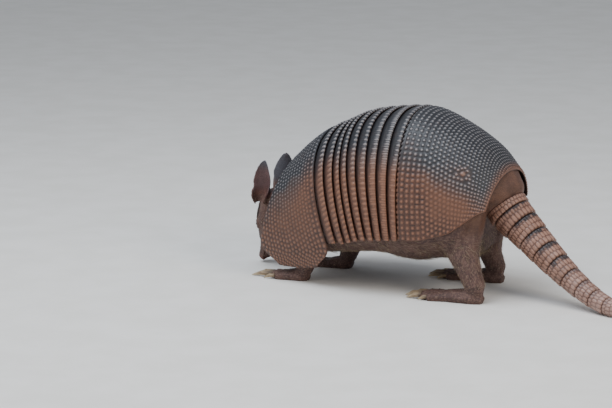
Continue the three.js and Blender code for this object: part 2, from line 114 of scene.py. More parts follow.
# %% A socket that can be added, multiplied and mixed
class Wire:
    """One output socket in a material. Arithmetic on it adds Math nodes, and add() makes any other node."""

    def __init__(self, tree, socket=None):
        self.tree = tree
        self.socket = socket

    def add(self, kind, settings=None, inputs=None, output=0):
        """Adds one node of a type: settings first, then a value or a wire for each socket."""
        made = self.tree.nodes.new("ShaderNode" + kind)
        for name, value in (settings or {}).items():
            setattr(made, name, value)
        for name, value in (inputs or {}).items():
            if isinstance(value, Wire):
                self.tree.links.new(value.socket, made.inputs[name])
            else:
                made.inputs[name].default_value = value
        return Wire(self.tree, made.outputs[output])

    def math(self, operation, *values):
        return self.add("Math", {"operation": operation}, dict(enumerate(values)))

    def __add__(self, other):
        return self.math("ADD", self, other)

    def __radd__(self, other):
        return self.math("ADD", other, self)

    def __sub__(self, other):
        return self.math("SUBTRACT", self, other)

    def __rsub__(self, other):
        return self.math("SUBTRACT", other, self)

    def __mul__(self, other):
        return self.math("MULTIPLY", self, other)

    def __rmul__(self, other):
        return self.math("MULTIPLY", other, self)

    def ease(self, low, high):
        """0 below low and 1 above high, with a soft step between; low may be the greater."""
        start, stop, near, far = (low, high, 0.0, 1.0) if low < high else (high, low, 1.0, 0.0)
        return self.add("MapRange", {"interpolation_type": "SMOOTHSTEP"},
                        {0: self, 1: start, 2: stop, 3: near, 4: far})

    def blend(self, low, high):
        """The colour low where this wire is 0, and high where it is 1."""
        return self.add("Mix", {"data_type": "RGBA"}, {0: self, 6: low, 7: high}, 2)

    def bump(self, strength, deep):
        """Normals for this wire as a height, deep metres at the most."""
        return self.add("Bump", {}, {"Strength": strength, "Distance": deep, "Height": self})


print("a wire knows:", [name for name in vars(Wire) if callable(getattr(Wire, name))])


# %% Materials, colours and grain
def tint(red, green, blue):
    """A colour given as a painter picks it on screen, 0 to 255, turned to the shader's linear light."""
    return tuple(((c / 255 + 0.055) / 1.055) ** 2.4 for c in (red, green, blue)) + (1.0,)


def surface(name, **fixed):
    """A new material: returns it, its Principled shader and a wire to start sums from."""
    made = bpy.data.materials.new(name)
    made.use_nodes = True
    shader = made.node_tree.nodes["Principled BSDF"]
    for socket, value in fixed.items():
        shader.inputs[socket.replace("_", " ")].default_value = value
    return made, shader, Wire(made.node_tree)


def feed(shader, **wires):
    """Links each wire to the shader's socket of that name."""
    for socket, wire in wires.items():
        wire.tree.links.new(wire.socket, shader.inputs[socket.replace("_", " ")])


def marks(wire, *names):
    """Wires that read numbers stored on the mesh's points, by name."""
    return [wire.add("Attribute", {"attribute_name": name}, output=2) for name in names]


def grain(wire, size, detail=3.0, rough=0.5, stretch=(1.0, 1.0, 1.0)):
    """Soft noise fixed to the object, size in metres, from about 0 to 1."""
    place = wire.add("Mapping", {}, {0: wire.add("TexCoord", output=3), 3: stretch})
    sockets = {"Vector": place, "Scale": 1 / size, "Detail": detail, "Roughness": rough}
    return wire.add("TexNoise", {}, sockets)


print("shader sums ready:", tint(255, 0, 0)[:3])

# %% [markdown]
# ## Mesh objects
# Every piece here is worked out point by point, so one helper turns points and faces into an object. It
# can also store plain numbers at the points, such as how high a crest stands. They travel with the mesh
# and a material reads them, where a painted picture would need a flat map and would blur close up.

# %% Mesh objects with numbers on their points
def store(mesh, **numbers):
    """Stores a number at each point under each name, for a material to read; points past the last get 0."""
    for label, values in numbers.items():
        padded = np.pad(np.ravel(values), (0, len(mesh.vertices) - np.size(values)))
        layer = mesh.attributes.new(label, "FLOAT", "POINT")
        layer.data.foreach_set("value", padded.astype(np.float32))


def add_object(name, points, faces, **stored):
    """A smooth-shaded mesh object from points in millimetres, with numbers stored on its points."""
    mesh = bpy.data.meshes.new(name)
    mesh.from_pydata((np.asarray(points) * MM).tolist(), [], faces)
    store(mesh, **stored)
    mesh.shade_smooth()
    return stand(name, mesh)


print("one millimetre in metres:", MM)

# %% [markdown]
# ## Floor and light
# The model stands on a plain pale floor under soft studio light. A large cool lamp above stands in for
# open sky, which gives the dark back its bluish sheen, and a warmer lamp from the camera's side shows the
# relief of the scutes. Large lamps are used because small ones would pick the scutes out too hard.

# %% A wide pale floor, and three large lamps
FLOOR_HALF = 6000.0
LAMP_AIM = Vector((0, 0, 0.08))


def pale_floor():
    corners = [(x * FLOOR_HALF, y * FLOOR_HALF, 0) for x, y in ((-1, -1), (1, -1), (1, 1), (-1, 1))]
    floor = add_object("floor", corners, [(0, 1, 2, 3)])
    made, shader, wire = surface("pale floor", Roughness=0.85)
    speckle = grain(wire, 0.05).ease(0.3, 0.7)
    feed(shader, Base_Color=speckle.blend(tint(220, 217, 211), tint(226, 223, 218)))
    floor.data.materials.append(made)


def lamp(name, azimuth, elevation, reach, size, power, colour):
    """A square lamp that looks at the body from a direction, reach metres away."""
    away = direction(azimuth, elevation)
    data = bpy.data.lights.new(name, "AREA")
    data.size, data.energy, data.color = size, power, colour
    made = stand(name, data)
    made.location = LAMP_AIM + away * reach
    made.rotation_euler = away.to_track_quat("Z", "Y").to_euler()
    return made


pale_floor()
lamps = [
    lamp("sky", -35, 66, 1.6, 1.1, 30, (0.84, 0.91, 1.0)),
    lamp("side", 66, 30, 2.0, 0.8, 21, (1.0, 0.93, 0.84)),
    lamp("fill", -40, 18, 2.2, 1.4, 7, (1.0, 0.97, 0.93)),
]
world = bpy.data.worlds.new("soft room")
world.use_nodes = True
background = world.node_tree.nodes["Background"]
background.inputs["Color"].default_value = (0.80, 0.86, 0.95, 1)
background.inputs["Strength"].default_value = 0.5
bpy.context.scene.world = world
print("lamps:", [lit.name for lit in lamps])

# %% [markdown]
# ## The shell's form
# The shell is a barrel vault: an arch, a little squarer than a half circle, whose width, depth, height
# and lean change from the shoulders to the rump. Ten arches at numbered stations are enough, with a
# cubic between them. Station 0 is the front of the first band and each band is one station long, so a
# plate is just a range of stations.

# %% Arches along the shell, and any point on it
ROUNDNESS = 2.25
BEND = -0.149
BEND_START, BEND_SPAN, BEND_MOST = 6.0, 11.0, 1.2
ARCHES = np.array([
    # station, along, top, depth, lean, half width, end angle, aside
    [-5, -115.5, 140.0, 78.6, -0.28, 62.8, 2.15, 6.2],
    [-2.5, -102.0, 153.4, 85.1, 0.10, 71.2, 2.15, 4.4],
    [0, -82.6, 167.0, 91.7, 0.27, 77.8, 1.86, 2.6],
    [2, -58.4, 178.2, 96.5, 0.23, 80.5, 1.85, 0.9],
    [4, -43.0, 185.6, 100.9, 0.22, 81.0, 1.82, 0.3],
    [6, -20.0, 191.0, 106.0, 0.16, 79.0, 1.78, 0.0],
    [9, 21.9, 195.4, 110.0, 0.04, 74.5, 1.74, 0.0],
    [12.5, 57.0, 185.7, 100.0, 0.00, 71.2, 1.73, 0.0],
    [16, 100.6, 161.5, 85.9, -0.08, 64.9, 1.52, 0.0],
    [19, 126.0, 136.0, 75.3, -0.16, 58.1, 1.09, 0.0],
])


def between_rows(table, place):
    """The values at each place, from a cubic through the rows of a table whose first column is the place."""
    knots = table[:, 0]
    last = len(knots) - 1
    upper = np.clip(np.searchsorted(knots, place, side="right"), 1, last)
    lower = upper - 1
    before = np.where(lower > 0, lower - 1, upper)
    after = np.where(upper < last, upper + 1, lower)
    half = (knots[upper] - knots[lower]) / 2
    pull = half / (knots[lower] - knots[before])
    push = half / (knots[after] - knots[upper])
    p = (place - knots[lower]) / (2 * half)
    weights = (
        -pull * p ** 3 + 2 * pull * p ** 2 - pull * p,
        (1 + pull) * p ** 3 - (1.5 + 2 * pull) * p ** 2 + (pull - 0.5) * p + 1,
        -(1 + push) * p ** 3 + (1.5 + push) * p ** 2 + 0.5 * p,
        push * p ** 3 - push * p ** 2,
    )
    values = sum(w[..., None] * table[row, 1:] for w, row in zip(weights, (before, lower, upper, after)))
    return np.moveaxis(values, -1, 0)


def squared(wave):
    """A sine or cosine drawn towards the square, so that the arch has fuller shoulders."""
    return np.sign(wave) * np.abs(wave) ** (2 / ROUNDNESS)


def shell_point(station, angle, inset=0.0):
    """A point of the shell in millimetres: angle 0 is the ridge and negative angles are the left side."""
    station = np.asarray(station, float)
    along, top, depth, lean, half, _, aside = between_rows(ARCHES, station)
    side = (half - inset) * squared(np.sin(angle))
    rise = (depth - inset) * squared(np.cos(angle)) - depth
    ahead = -rise * np.sin(lean)
    turn = BEND * np.clip((BEND_START - station) / BEND_SPAN, 0, BEND_MOST)
    place = (along + ahead * np.cos(turn) - side * np.sin(turn),
             aside + ahead * np.sin(turn) + side * np.cos(turn),
             top + rise * np.cos(lean))
    return np.stack(place, -1) + MIDDLE


def arch_end(station):
    return between_rows(ARCHES, np.asarray(station, float))[5]


spine = shell_point(np.array([0.0, 9.0, 19.0]), np.zeros(3))
print("heights along the spine at stations 0, 9, 19:", spine[:, 2].round(1), "mm")

# %% [markdown]
# ## Scutes
# Each plate is a mosaic of bony scutes under thin horn. On the real animal they lie in rows, half a scute
# out of step, and a row has as many as fit. Drawing them as a picture would leave a flat shell. So the
# middles of the scutes are laid out row by row on the surface itself, and every point of the mesh then
# asks how far it is from the nearest middle and how much further the next one is.

# %% Soft steps, fixed chance, and the nearest scute
def ease(value, low, high):
    """0 at low and 1 at high, with a soft step between; low may be the greater."""
    share = np.clip((value - low) / (high - low), 0, 1)
    return share * share * (3 - 2 * share)


def dice(first, seed, second=0):
    """A fixed random number from 0 to 1 for each whole number, or pair of them."""
    wave = np.sin(first * 127.1 + second * 311.7 + seed * 74.7) * 43758.5453
    return wave - np.floor(wave)


def near_scute(points, middles, widths):
    """For each point: distance to the nearest middle, gap to the next, in scute widths, and its number."""
    tree = KDTree(len(middles))
    for number, middle in enumerate(middles):
        tree.insert(middle, number)
    tree.balance()
    flat = points.reshape(-1, 3)
    found = np.array([[(number, reach) for _, number, reach in tree.find_n(point, 2)] for point in flat])
    number = found[:, 0, 0].astype(int)
    first, second = found[..., 1].T
    measured = (first / widths[number], (second - first) / widths[number], number)
    return [values.reshape(points.shape[:-1]) for values in measured]


two_scutes = np.array([[0.0, 0, 0], [4.0, 0, 0]])
probe = near_scute(np.array([[0.0, 0, 0], [2.0, 0, 0]]), two_scutes, np.array([4.0, 4]))
print("at a middle and half way to the next:", probe[0].round(2), probe[1].round(2))

# %% [markdown]
# ## Making a plate
# A plate is one closed solid: a fine outer face that carries the scutes, a coarse inner face that is
# hardly seen, and a rim that joins them. Numbers stored on the outer points travel with the mesh, and the
# material reads them later, so that colour and relief can never drift apart.

# %% Closed slabs from a grid of points
COARSE = 4  # the inner face keeps one point in four


def grid_faces(index, flip=False):
    """Four-sided faces over a grid of point numbers."""
    corners = (index[:-1, :-1], index[1:, :-1], index[1:, 1:], index[:-1, 1:])
    if flip:
        corners = corners[::-1]
    return np.stack([corner.ravel() for corner in corners], 1).tolist()


def border(index):
    """The point numbers round the edge of a grid, back to the first."""
    sides = (index[0], index[:, -1], index[-1, ::-1], index[::-1, 0])
    return np.concatenate([side[:-1] for side in sides] + [index[0, :1]])


def slab(outer, inner, steps=COARSE, flip=False):
    """Points and faces of a closed slab: outer is (rows, columns, 3), and inner has one point in steps.
    flip is for a grid whose columns run the other way round."""
    fine = np.arange(outer.size // 3).reshape(outer.shape[:2])
    coarse = fine.size + np.arange(inner.size // 3).reshape(inner.shape[:2])
    faces = grid_faces(fine, flip) + grid_faces(coarse, not flip)
    above, below = border(fine).tolist(), border(coarse).tolist()
    for step in range(len(below) - 1):
        run = above[step * steps:(step + 1) * steps + 1]
        faces.append(run + [below[step + 1], below[step]])
    return np.concatenate([outer.reshape(-1, 3), inner.reshape(-1, 3)]), faces


print("faces of a slab of 16 squares:", len(slab(np.zeros((5, 5, 3)), np.zeros((2, 2, 3)))[1]))


# %% Directions and distances over points
def unit(vectors):
    """Vectors made one long."""
    return vectors / np.linalg.norm(vectors, axis=-1, keepdims=True)


def square_to(vectors, axis):
    """The part of each vector that is square to an axis, made one long."""
    return unit(vectors - (vectors * axis).sum(-1, keepdims=True) * axis)


def travel(points, axis=0):
    """How far each point of a line, or of a grid's row or column, lies along it, in millimetres."""
    stride = np.linalg.norm(np.diff(points, axis=axis), axis=-1)
    return np.concatenate([np.zeros_like(np.take(stride, [0], axis)), np.cumsum(stride, axis)], axis)


def from_edge(along, across):
    """How far each point of a grid lies from the nearest edge."""
    return np.minimum.reduce([along, along[-1:] - along, across - across[:, :1], across[:, -1:] - across])


def at_places(wanted, run, rows):
    """Rows of numbers read between the given ones, at the wanted distances along a run."""
    return np.stack([np.interp(wanted, run, column) for column in rows.T], -1)


def ripple(points, size, shift):
    """Smooth noise from -1 to 1, size millimetres across."""
    return np.array([noise.noise(Vector(p / size) + Vector(shift)) for p in points])


def hump(off, wide):
    """A round hump: 1 where off is 0, and nearly 0 from twice its width."""
    return np.exp(-(off / wide) ** 2)


def outward(points):
    """Unit normals of a grid whose rows run to the tail and columns to the animal's right."""
    return unit(np.cross(np.gradient(points, axis=0), np.gradient(points, axis=1)))


print("a step of 3 and 4 is", travel(np.array([[0.0, 0, 0], [3, 4, 0]]))[-1], "long")


# %% Where a plate lies: even steps across the arch and along the shell
ARC_SAMPLES = 721
EDGE_SAMPLES = 50
PLATE_THICK = 2.0


def arch_run(station, end):
    """Fine angles from -end to end at a station, and how far along the arch each lies."""
    fine = np.linspace(-end, end, ARC_SAMPLES)
    return fine, travel(shell_point(station, fine))


def even_angles(station, end, columns):
    """Angles from -end to end that are evenly spaced along the arch at a station."""
    fine, run = arch_run(station, end)
    return np.interp(np.linspace(0, run[-1], columns), run, fine)


class Patch:
    """A patch of the shell: its grid of stations and angles, and distances across and along it."""

    def __init__(self, front, rear, end, pitch):
        """front and rear give a station for an angle, end the last angle at a station; pitch is the step."""
        middle = 0.5 * (front(0.0) + rear(0.0))
        widest = end(front(0.0))
        long_side = max(travel(shell_point(np.linspace(front(angle), rear(angle), EDGE_SAMPLES), angle))[-1]
                        for angle in (0.0, 0.5 * widest, 0.85 * widest))
        self.rows = COARSE * max(2, round(long_side / pitch / COARSE))
        self.columns = COARSE * round(arch_run(middle, end(middle))[1][-1] / pitch / COARSE)
        self.share = np.linspace(0, 1, self.rows + 1)
        stations = front(0.0) + (rear(0.0) - front(0.0)) * self.share
        self.angle = np.stack([even_angles(s, end(s), self.columns + 1) for s in stations])
        low, high = front(self.angle), rear(self.angle)
        self.station = low + (high - low) * self.share[:, None]
        self.base = shell_point(self.station, self.angle)
        across = travel(self.base, 1)
        self.across = across - across[:, self.columns // 2][:, None]
        self.along = travel(self.base)
        self.edge = from_edge(self.along, self.across)

    def plate(self, name, inset, relief, **stored):
        """A closed plate on the patch, whose face stands relief millimetres proud of inset."""
        base = shell_point(self.station, self.angle, inset)
        deep = shell_point(self.station, self.angle, inset + PLATE_THICK)[::COARSE, ::COARSE]
        return add_object(name, *slab(base + outward(base) * relief[..., None], deep), **stored)

    def noise(self, size, seed):
        """Smooth noise from -1 to 1 over the patch, worked out on its coarse points and spread between."""
        coarse = self.base[::COARSE, ::COARSE]
        values = ripple(coarse.reshape(-1, 3), size, (seed, 0, 0)).reshape(coarse.shape[:2])
        for side in (self.columns, self.rows):
            fine = np.arange(side + 1)
            values = np.stack([np.interp(fine, fine[::COARSE], line) for line in values], 1)
        return values


print("over the arch at station 9:", round(float(arch_run(9.0, arch_end(9.0))[1][-1]), 1), "mm")


# %% Scutes row by row
def lay_scutes(base, along, pitch, step, jitter, seed, from_rear=False, square_rows=0):
    """Middles laid row by row from one edge of a grid, as many in a row as fit, and each scute's width.
    Rows stand step widths apart. The first square_rows rows aren't put out of step."""
    size, step = pitch * np.ones(along.shape), step * np.ones(along.shape)
    if from_rear:
        base, along, size, step = base[::-1], (along[-1:] - along)[::-1], size[::-1], step[::-1]
    rows = np.cumsum(np.gradient(along, axis=0) / (size * step), 0)
    sized = np.concatenate([base, size[..., None]], 2)
    scutes = []
    for row in range(int(rows.max()) + 1):
        level = row + 0.5
        reached = np.flatnonzero(rows[-1] > level)[::2]
        if len(reached) < 2:
            continue
        line = np.array([at_places(level, rows[:, column], sized[:, column]) for column in reached])
        stride = np.linalg.norm(np.diff(line[:, :3], axis=0), axis=1) / line[1:, 3]
        run = np.append(0, np.cumsum(stride))
        counted = np.arange(0.5 if row < square_rows or row % 2 else 1.0, run[-1], 1.0)
        shaken = counted + jitter * (dice(counted.round(), seed, row) - 0.5)
        scutes.append(at_places(shaken, run, line))
    scutes = np.concatenate(scutes)
    return scutes[:, :3], scutes[:, 3]


def rounded_rim(edge, radius):
    """How far a plate's face falls in near its rim, so that the rim is round."""
    near = np.clip(1 - edge / radius, 0, 1)
    return radius * (1 - np.sqrt(np.clip(1 - near ** 2, 0, 1)))


print("a rim of 1.4 mm falls", rounded_rim(np.array([0, 0.7, 1.4]), 1.4).round(2), "mm from its edge inwards")

# %% [markdown]
# ## What the horn looks like
# One recipe serves every plate. The mesh brings four numbers to it: `crest`, which is 1 at the middle of
# a scute and 0 between scutes; `ridge`, which is 1 along the back and 0 down the flanks; `tone`, a chance
# value for each scute; and `worn`, which is 1 where the flank has been rubbed smooth. Along the back the
# horn is slate grey with a slight blue cast, which is partly painted sheen of the sky, and only the crests
# are pale. Down the flanks the pale part of each scute widens.

# %% The horn of the shell
def horn(name, back, flank, rubbed_to):
    """back and flank each give the colours of a groove, of a scute and of its crest. The groove colour is
    also painted shade where the crest falls to 0 at the front of a band or tail ring.
    """
    made, shader, wire = surface(name, Specular_IOR_Level=0.5)
    crest, ridge, tone, worn = marks(wire, "crest", "ridge", "tone", "worn")
    dirt = grain(wire, 0.018, 4.0, 0.62)
    fine = grain(wire, 0.0011, 2.0, 0.6)
    ragged = crest + (fine - 0.5) * 0.16 + (tone - 0.5) * 0.14
    groove, scute, top = (ridge.blend(low, high) for low, high in zip(flank, back))
    pale = (ragged - (0.24 + ridge * 0.08)).ease(0.0, 0.56)
    colour = pale.blend(ragged.ease(0.02, 0.30).blend(groove, scute), top)
    rubbed = dirt.ease(0.45, 0.75) * (1 - ridge) * 0.20 + worn * 0.52
    colour = rubbed.blend(colour, rubbed_to)
    colour = (dirt.ease(0.48, 0.22) * 0.42).blend(colour, flank[0])
    height = fine * 0.35 + ragged.ease(0.05, 0.55) * 0.65
    feed(shader, Base_Color=(tone * 0.24).blend(colour, groove),
         Roughness=0.37 + fine * 0.20 - pale * 0.04, Normal=height.bump(0.35, 0.0006))
    return made


# the slight blue cast of the back's groove and scute colours is partly painted sheen of the sky
shell_horn = horn("shell horn", (tint(24, 24, 28), tint(38, 39, 45), tint(134, 129, 128)),
                  (tint(44, 25, 18), tint(85, 53, 39), tint(135, 93, 71)), tint(110, 72, 52))
print("finish:", shell_horn.name)

# %% [markdown]
# ## The shoulder shield
# The first plate covers the shoulders and hangs low on both sides of the neck. Its scutes are the
# smallest on the shell, with larger ones along the rear edge and towards the lower corners. The lattice
# is laid from the rear edge forwards, because on the animal the rows follow that edge.

# %% Colour zones, and how each piece is dressed
RIDGE_EDGE = (0.72, 1.22)  # the dark of the back fades between these angles


def ridge_of(patch):
    """1 on the dark back and 0 on the pale flanks, with a wandering edge."""
    wander = 0.16 * patch.noise(26.0, 3.0)
    lower = 0.42 * ease(patch.station, -0.4, -3.2) + 0.10 * ease(patch.station, 9.5, 13)
    rear = 1 - 0.9 * ease(patch.station, 18.0, 18.95)
    return rear * (1 - ease(np.abs(patch.angle) + wander - lower, *RIDGE_EDGE))


def scute_crest(reach, gap, ridge):
    """1 at a scute's middle, 0 in the gaps; on the flanks the whole scute is part of the way up."""
    peak = np.clip(1.05 - reach / 0.50, 0, 1) ** 1.25
    return np.maximum(peak, 0.27 * (1 - ridge)) * ease(gap, 0.0, 0.14)


def worn_spot(patch, station, angle, stations_wide, angle_wide):
    """A soft spot on both flanks, 1 at its middle, with a ragged edge."""
    off = ((patch.station - station) / stations_wide) ** 2 + ((np.abs(patch.angle) - angle) / angle_wide) ** 2
    return ease(off + 0.5 * patch.noise(11.0, 8.0), 1.1, 0.1)


def dress(piece, slot, finish, *solids):
    """Gives a piece its finish, lets it stand for solids and rides it on the one body; slot is not used."""
    piece.data.materials.clear()
    piece.data.materials.append(finish)
    if solids:
        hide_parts(*solids)
    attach(piece, "root")
    print(piece.name, "points:", len(piece.data.vertices), "faces:", len(piece.data.polygons))


print("the dark back ends between", *RIDGE_EDGE, "radians from the ridge")


# %% The shoulder shield
SHOULDER_MESH = 0.66  # millimetres from one point to the next
SHOULDER_END = 2.17  # the angle of its lower edge


def shoulder_front(angle):
    """The neck edge: a shallow notch at the ridge, and a lower front corner rounded off."""
    return -5 + 0.3 * hump(angle, 0.45) + 1.1 * ease(np.abs(angle), 1.75, SHOULDER_END) ** 2


def shoulder_rear(angle):
    return -0.03 - 1.5 * ease(np.abs(angle), 1.8, SHOULDER_END) ** 2


def shoulder_shield():
    patch = Patch(shoulder_front, shoulder_rear, lambda station: SHOULDER_END, SHOULDER_MESH)
    behind = patch.along[-1:] - patch.along
    low_down = ease(np.abs(patch.angle), 1.3, 1.9)
    pitch = 4.1 + 1.0 * ease(behind, 14, 4) + 1.3 * low_down
    scutes = lay_scutes(patch.base, patch.along, pitch, 1.12 - 0.18 * low_down, 0.26, 11, from_rear=True)
    reach, gap, number = near_scute(patch.base, *scutes)
    relief = 0.50 * ease(reach, 0.50, 0.12) - 0.16 * ease(gap, 0.22, 0.0) - rounded_rim(patch.edge, 1.4)
    ridge = ridge_of(patch)
    return patch.plate("shoulder_shield", 0.0, relief, crest=scute_crest(reach, gap, ridge), ridge=ridge,
                       tone=dice(number, 12), worn=0.7 * worn_spot(patch, -2.4, 1.42, 2.4, 0.42))


dress(shoulder_shield(), "shell", shell_horn, "shield_scapular")

# %% [markdown]
# ## The nine bands
# Between the two shields nine bands slide under one another like roof tiles. Each tucks its front edge
# under the band before. Its rear edge is a chain of pale beads, fine ribs run forward from them, and the
# horn darkens towards the groove in front, partly a darker brown of its own and partly painted shade under
# the band before. A loop makes all nine.

# %% Bands of long scutes
BANDS = 9
BAND_MESH = 0.62
RIB_WIDE = 2.7
RIBS_TO_A_BEAD = 2
# a share of the band's length, and how many millimetres under the shell's full size it lies there
BAND_PROFILE = ((-0.15, 3.5), (0.0, 2.8), (0.12, 1.9), (0.28, 1.05), (0.5, 0.5), (0.75, 0.15), (0.98, 0.0))
BAND_LONG = 0.975


def straight(station):
    """An edge at the same station all the way down."""
    return lambda angle: station + 0 * angle


def stripes(place, wide_at, edge):
    """The number of the stripe at each place, and 1 along its middle line."""
    number = np.round(place)
    return number, ease(np.abs(place - number), wide_at, edge)


def band(number):
    low, high = BAND_PROFILE[0][0], BAND_PROFILE[-1][0]
    front, rear = (straight(number - 1 + BAND_LONG * share) for share in (low, high))
    patch = Patch(front, rear, arch_end, BAND_MESH)
    share = (low + (high - low) * patch.share)[:, None] * np.ones(patch.angle.shape)
    place = patch.across / RIB_WIDE + 0.22 * patch.noise(9.0, 5.0 * number)
    rib_number, rib = stripes(place, 0.5, 0.12)
    bead_number, bead = stripes(place / RIBS_TO_A_BEAD, 0.48, 0.06)
    point = 0.15 + 0.30 * dice(rib_number, 23, number)
    ridge = ridge_of(patch)
    rib = rib * ease(share, point, point + 0.3)
    bead = bead * ease(share, 0.36 + 0.12 * ridge, 0.78 + 0.10 * ridge)
    ribbed = 0.15 + 0.55 * ease(float(number), 5.0, 8.0) * (1 - 0.5 * (number == BANDS))
    relief = ease(share, 1.0, 0.93) * (0.24 * rib + 0.72 * (1 - ribbed) * bead) - rounded_rim(patch.edge, 0.9)
    # painted shade: towards its front, in the groove under the band before, a band's crest falls to 0 and its
    # horn takes the dark groove colour, partly a real darker brown
    past_front_shade = ease(share, 0.06 + 0.14 * ridge, 0.40 + 0.42 * ridge)
    wave = ribbed * rib + (1 - ribbed) * bead
    return patch.plate(f"band_shell_{number}", np.interp(share, *zip(*BAND_PROFILE)), relief, ridge=ridge,
                       crest=past_front_shade * (0.28 - 0.24 * ridge + (0.64 + 0.30 * ridge) * wave), worn=0 * ridge,
                       tone=0.5 * dice(rib_number, 21, number) + 0.5 * dice(bead_number, 22, number))


for number in range(1, BANDS + 1):
    dress(band(number), "shell", shell_horn, f"band_{number}")

# %% [markdown]
# ## The pelvic shield
# The largest plate runs from the last band to the tail. Its scutes are round, with a pale worn crest; the
# first rows keep in step with the bands and the rest close up towards the rear. An old bite shows on the
# left side as a small ring of pale scutes, so the same ring is raised and paled here.

# %% Round scutes that shrink towards the rear
PELVIC_FRONT, PELVIC_REAR = 8.86, 19.0
PELVIC_PITCH, PELVIC_MESH = 5.7, 0.82
SQUARE_ROWS = 6
SCAR_AT = (15.55, -0.87)  # station and angle of the old bite
SCAR_RING, SCAR_CLEAR, SCAR_SCUTES = 6.4, 9.2, 9
SCAR_CORE, SCAR_MOAT = 5.6, 3.9  # the middle scute's width, and how far out the groove round it lies


def scar(middles, widths):
    """Swaps the scutes round the old bite for a ring round one. Returns how many were kept."""
    station, angle = SCAR_AT
    angles = np.array([angle, angle + 0.01, angle])
    middle, beside, behind = shell_point([station, station, station + 0.1], angles)
    across = unit(beside - middle)
    along = square_to(behind - middle, across)
    far = np.linalg.norm(middles - middle, axis=1) > SCAR_CLEAR
    count = np.arange(SCAR_SCUTES)
    turn = (count + 0.4 * dice(count, 33)) / SCAR_SCUTES * math.tau
    out = (SCAR_RING * (0.88 + 0.24 * dice(count, 34)))[:, None]
    ring = middle + out * (np.outer(np.cos(turn), across) + np.outer(np.sin(turn), along))
    small = np.full(SCAR_SCUTES, math.tau * SCAR_RING / SCAR_SCUTES)
    return (np.concatenate([middles[far], [middle], ring]),
            np.concatenate([widths[far], [SCAR_CORE], small]), int(far.sum()) + 1)


def pelvic_shield():
    patch = Patch(straight(PELVIC_FRONT), straight(PELVIC_REAR), arch_end, PELVIC_MESH)
    inset = 0.45 + 2.75 * ease(patch.along, 4.2, 0.6) - 0.45 * ease(patch.along, 4, 12)
    pitch = PELVIC_PITCH * (patch.across[:, -1:] / patch.across[0, -1]) ** 0.6
    in_step = ease(patch.along, (SQUARE_ROWS + 1) * PELVIC_PITCH, (SQUARE_ROWS - 1) * PELVIC_PITCH)
    scutes = lay_scutes(patch.base, patch.along, pitch, 0.90 + 0.16 * in_step, 0.22, 31,
                        square_rows=SQUARE_ROWS)
    middles, widths, scarred_from = scar(*scutes)
    reach, gap, number = near_scute(patch.base, middles, widths)
    from_scar = np.linalg.norm(patch.base - shell_point(*SCAR_AT), axis=2)
    healed = 0.35 * ease(from_scar, 1.4 * SCAR_CLEAR, SCAR_RING)
    healed = healed + 0.45 * ease(from_scar, SCAR_RING - 1, SCAR_MOAT)
    ridge = ridge_of(patch) * (1 - healed)
    worn = worn_spot(patch, 14.8, 1.27, 3.0, 0.30) * (1 - ridge)
    dome = ease(reach, 0.45, 0.10)
    relief = (0.70 - 0.34 * worn) * dome - 0.16 * ease(gap, 0.16, 0.0) - rounded_rim(patch.edge, 1.4)
    rim = 0.62 * ease(patch.edge, 1.5, 0.6) * ease(patch.along, 4, 9)
    crest = np.maximum.reduce([scute_crest(reach, gap, ridge), rim, 0.6 * ease(from_scar, 3.0, 1.8)])
    crest = crest * (1 + 0.15 * (number >= scarred_from)) * (1 - 0.85 * hump(from_scar - SCAR_MOAT, 0.9))
    return patch.plate("pelvic_shield", inset, relief, crest=crest, ridge=ridge, tone=dice(number, 32),
                       worn=worn)


dress(pelvic_shield(), "shell", shell_horn, "shield_pelvic")

# %% [markdown]
# ## The tail
# The tail is a stack of twelve rings, each a short cone whose rear edge overlaps the next, and a long
# scaly tip. Its middle line is a smooth curve through a few points, so the rings are placed by distance
# along that curve. A curve object could carry a ring shape along itself, but working it out point by
# point lets the scutes be laid on each ring in the same way as on the shell.

# %% The tail's middle line and girth
RING_LENGTHS = (11.5, 17, 19, 20, 20.3, 20.5, 20.2, 19.4, 18.7, 17, 15, 13)
TAIL_LENGTH = 306.0
TAIL_ROUTE = np.array([
    (107.5, 1, 109.5), (117.7, 0, 97.9), (125.1, -1, 89.1), (151.6, -5, 66.6), (182.9, -13, 42.9),
    (217.2, -23, 21.9), (250.9, -36, 10.2), (286, -46, 7.4), (330, -52, 4.9), (368, -49, 2.8),
    (388, -44, 1.5)])
TAIL_GIRTH = ((0, 23.2), (11.5, 22.5), (28.5, 20.3), (47.5, 18.2), (67.5, 16.6), (88, 14.8), (108, 13.2),
              (128, 11.8), (148, 10.6), (167, 9.4), (200, 7.7), (240, 5.5), (280, 3.3), (306, 1.7))
CURVE_STEPS = 60


def smooth_route(points):
    """A centripetal curve through the points: its places, close together."""
    padded = np.concatenate([[2 * points[0] - points[1]], points, [2 * points[-1] - points[-2]]])
    share = np.linspace(0, 1, CURVE_STEPS, endpoint=False)[:, None]
    pieces = []
    for a, b, c, d in zip(padded[:-3], padded[1:-2], padded[2:-1], padded[3:]):
        first, middle, last = (math.sqrt(np.linalg.norm(step)) for step in (b - a, c - b, d - c))
        leave = ((b - a) / first - (c - a) / (first + middle) + (c - b) / middle) * middle
        arrive = ((c - b) / middle - (d - b) / (middle + last) + (d - c) / last) * middle
        pieces.append(b + leave * share + (3 * (c - b) - 2 * leave - arrive) * share ** 2
                      + (2 * (b - c) + leave + arrive) * share ** 3)
    return np.concatenate(pieces + [points[-1:]])


tail_line = smooth_route(TAIL_ROUTE)
tail_run = travel(tail_line)
tail_start = tail_run[-1] - TAIL_LENGTH
print("tail line:", round(float(tail_run[-1]), 1), "mm, rings start at", round(float(tail_start), 1))


# %% Points round the tail
def tail_radius(distance):
    return np.interp(distance, *zip(*TAIL_GIRTH))


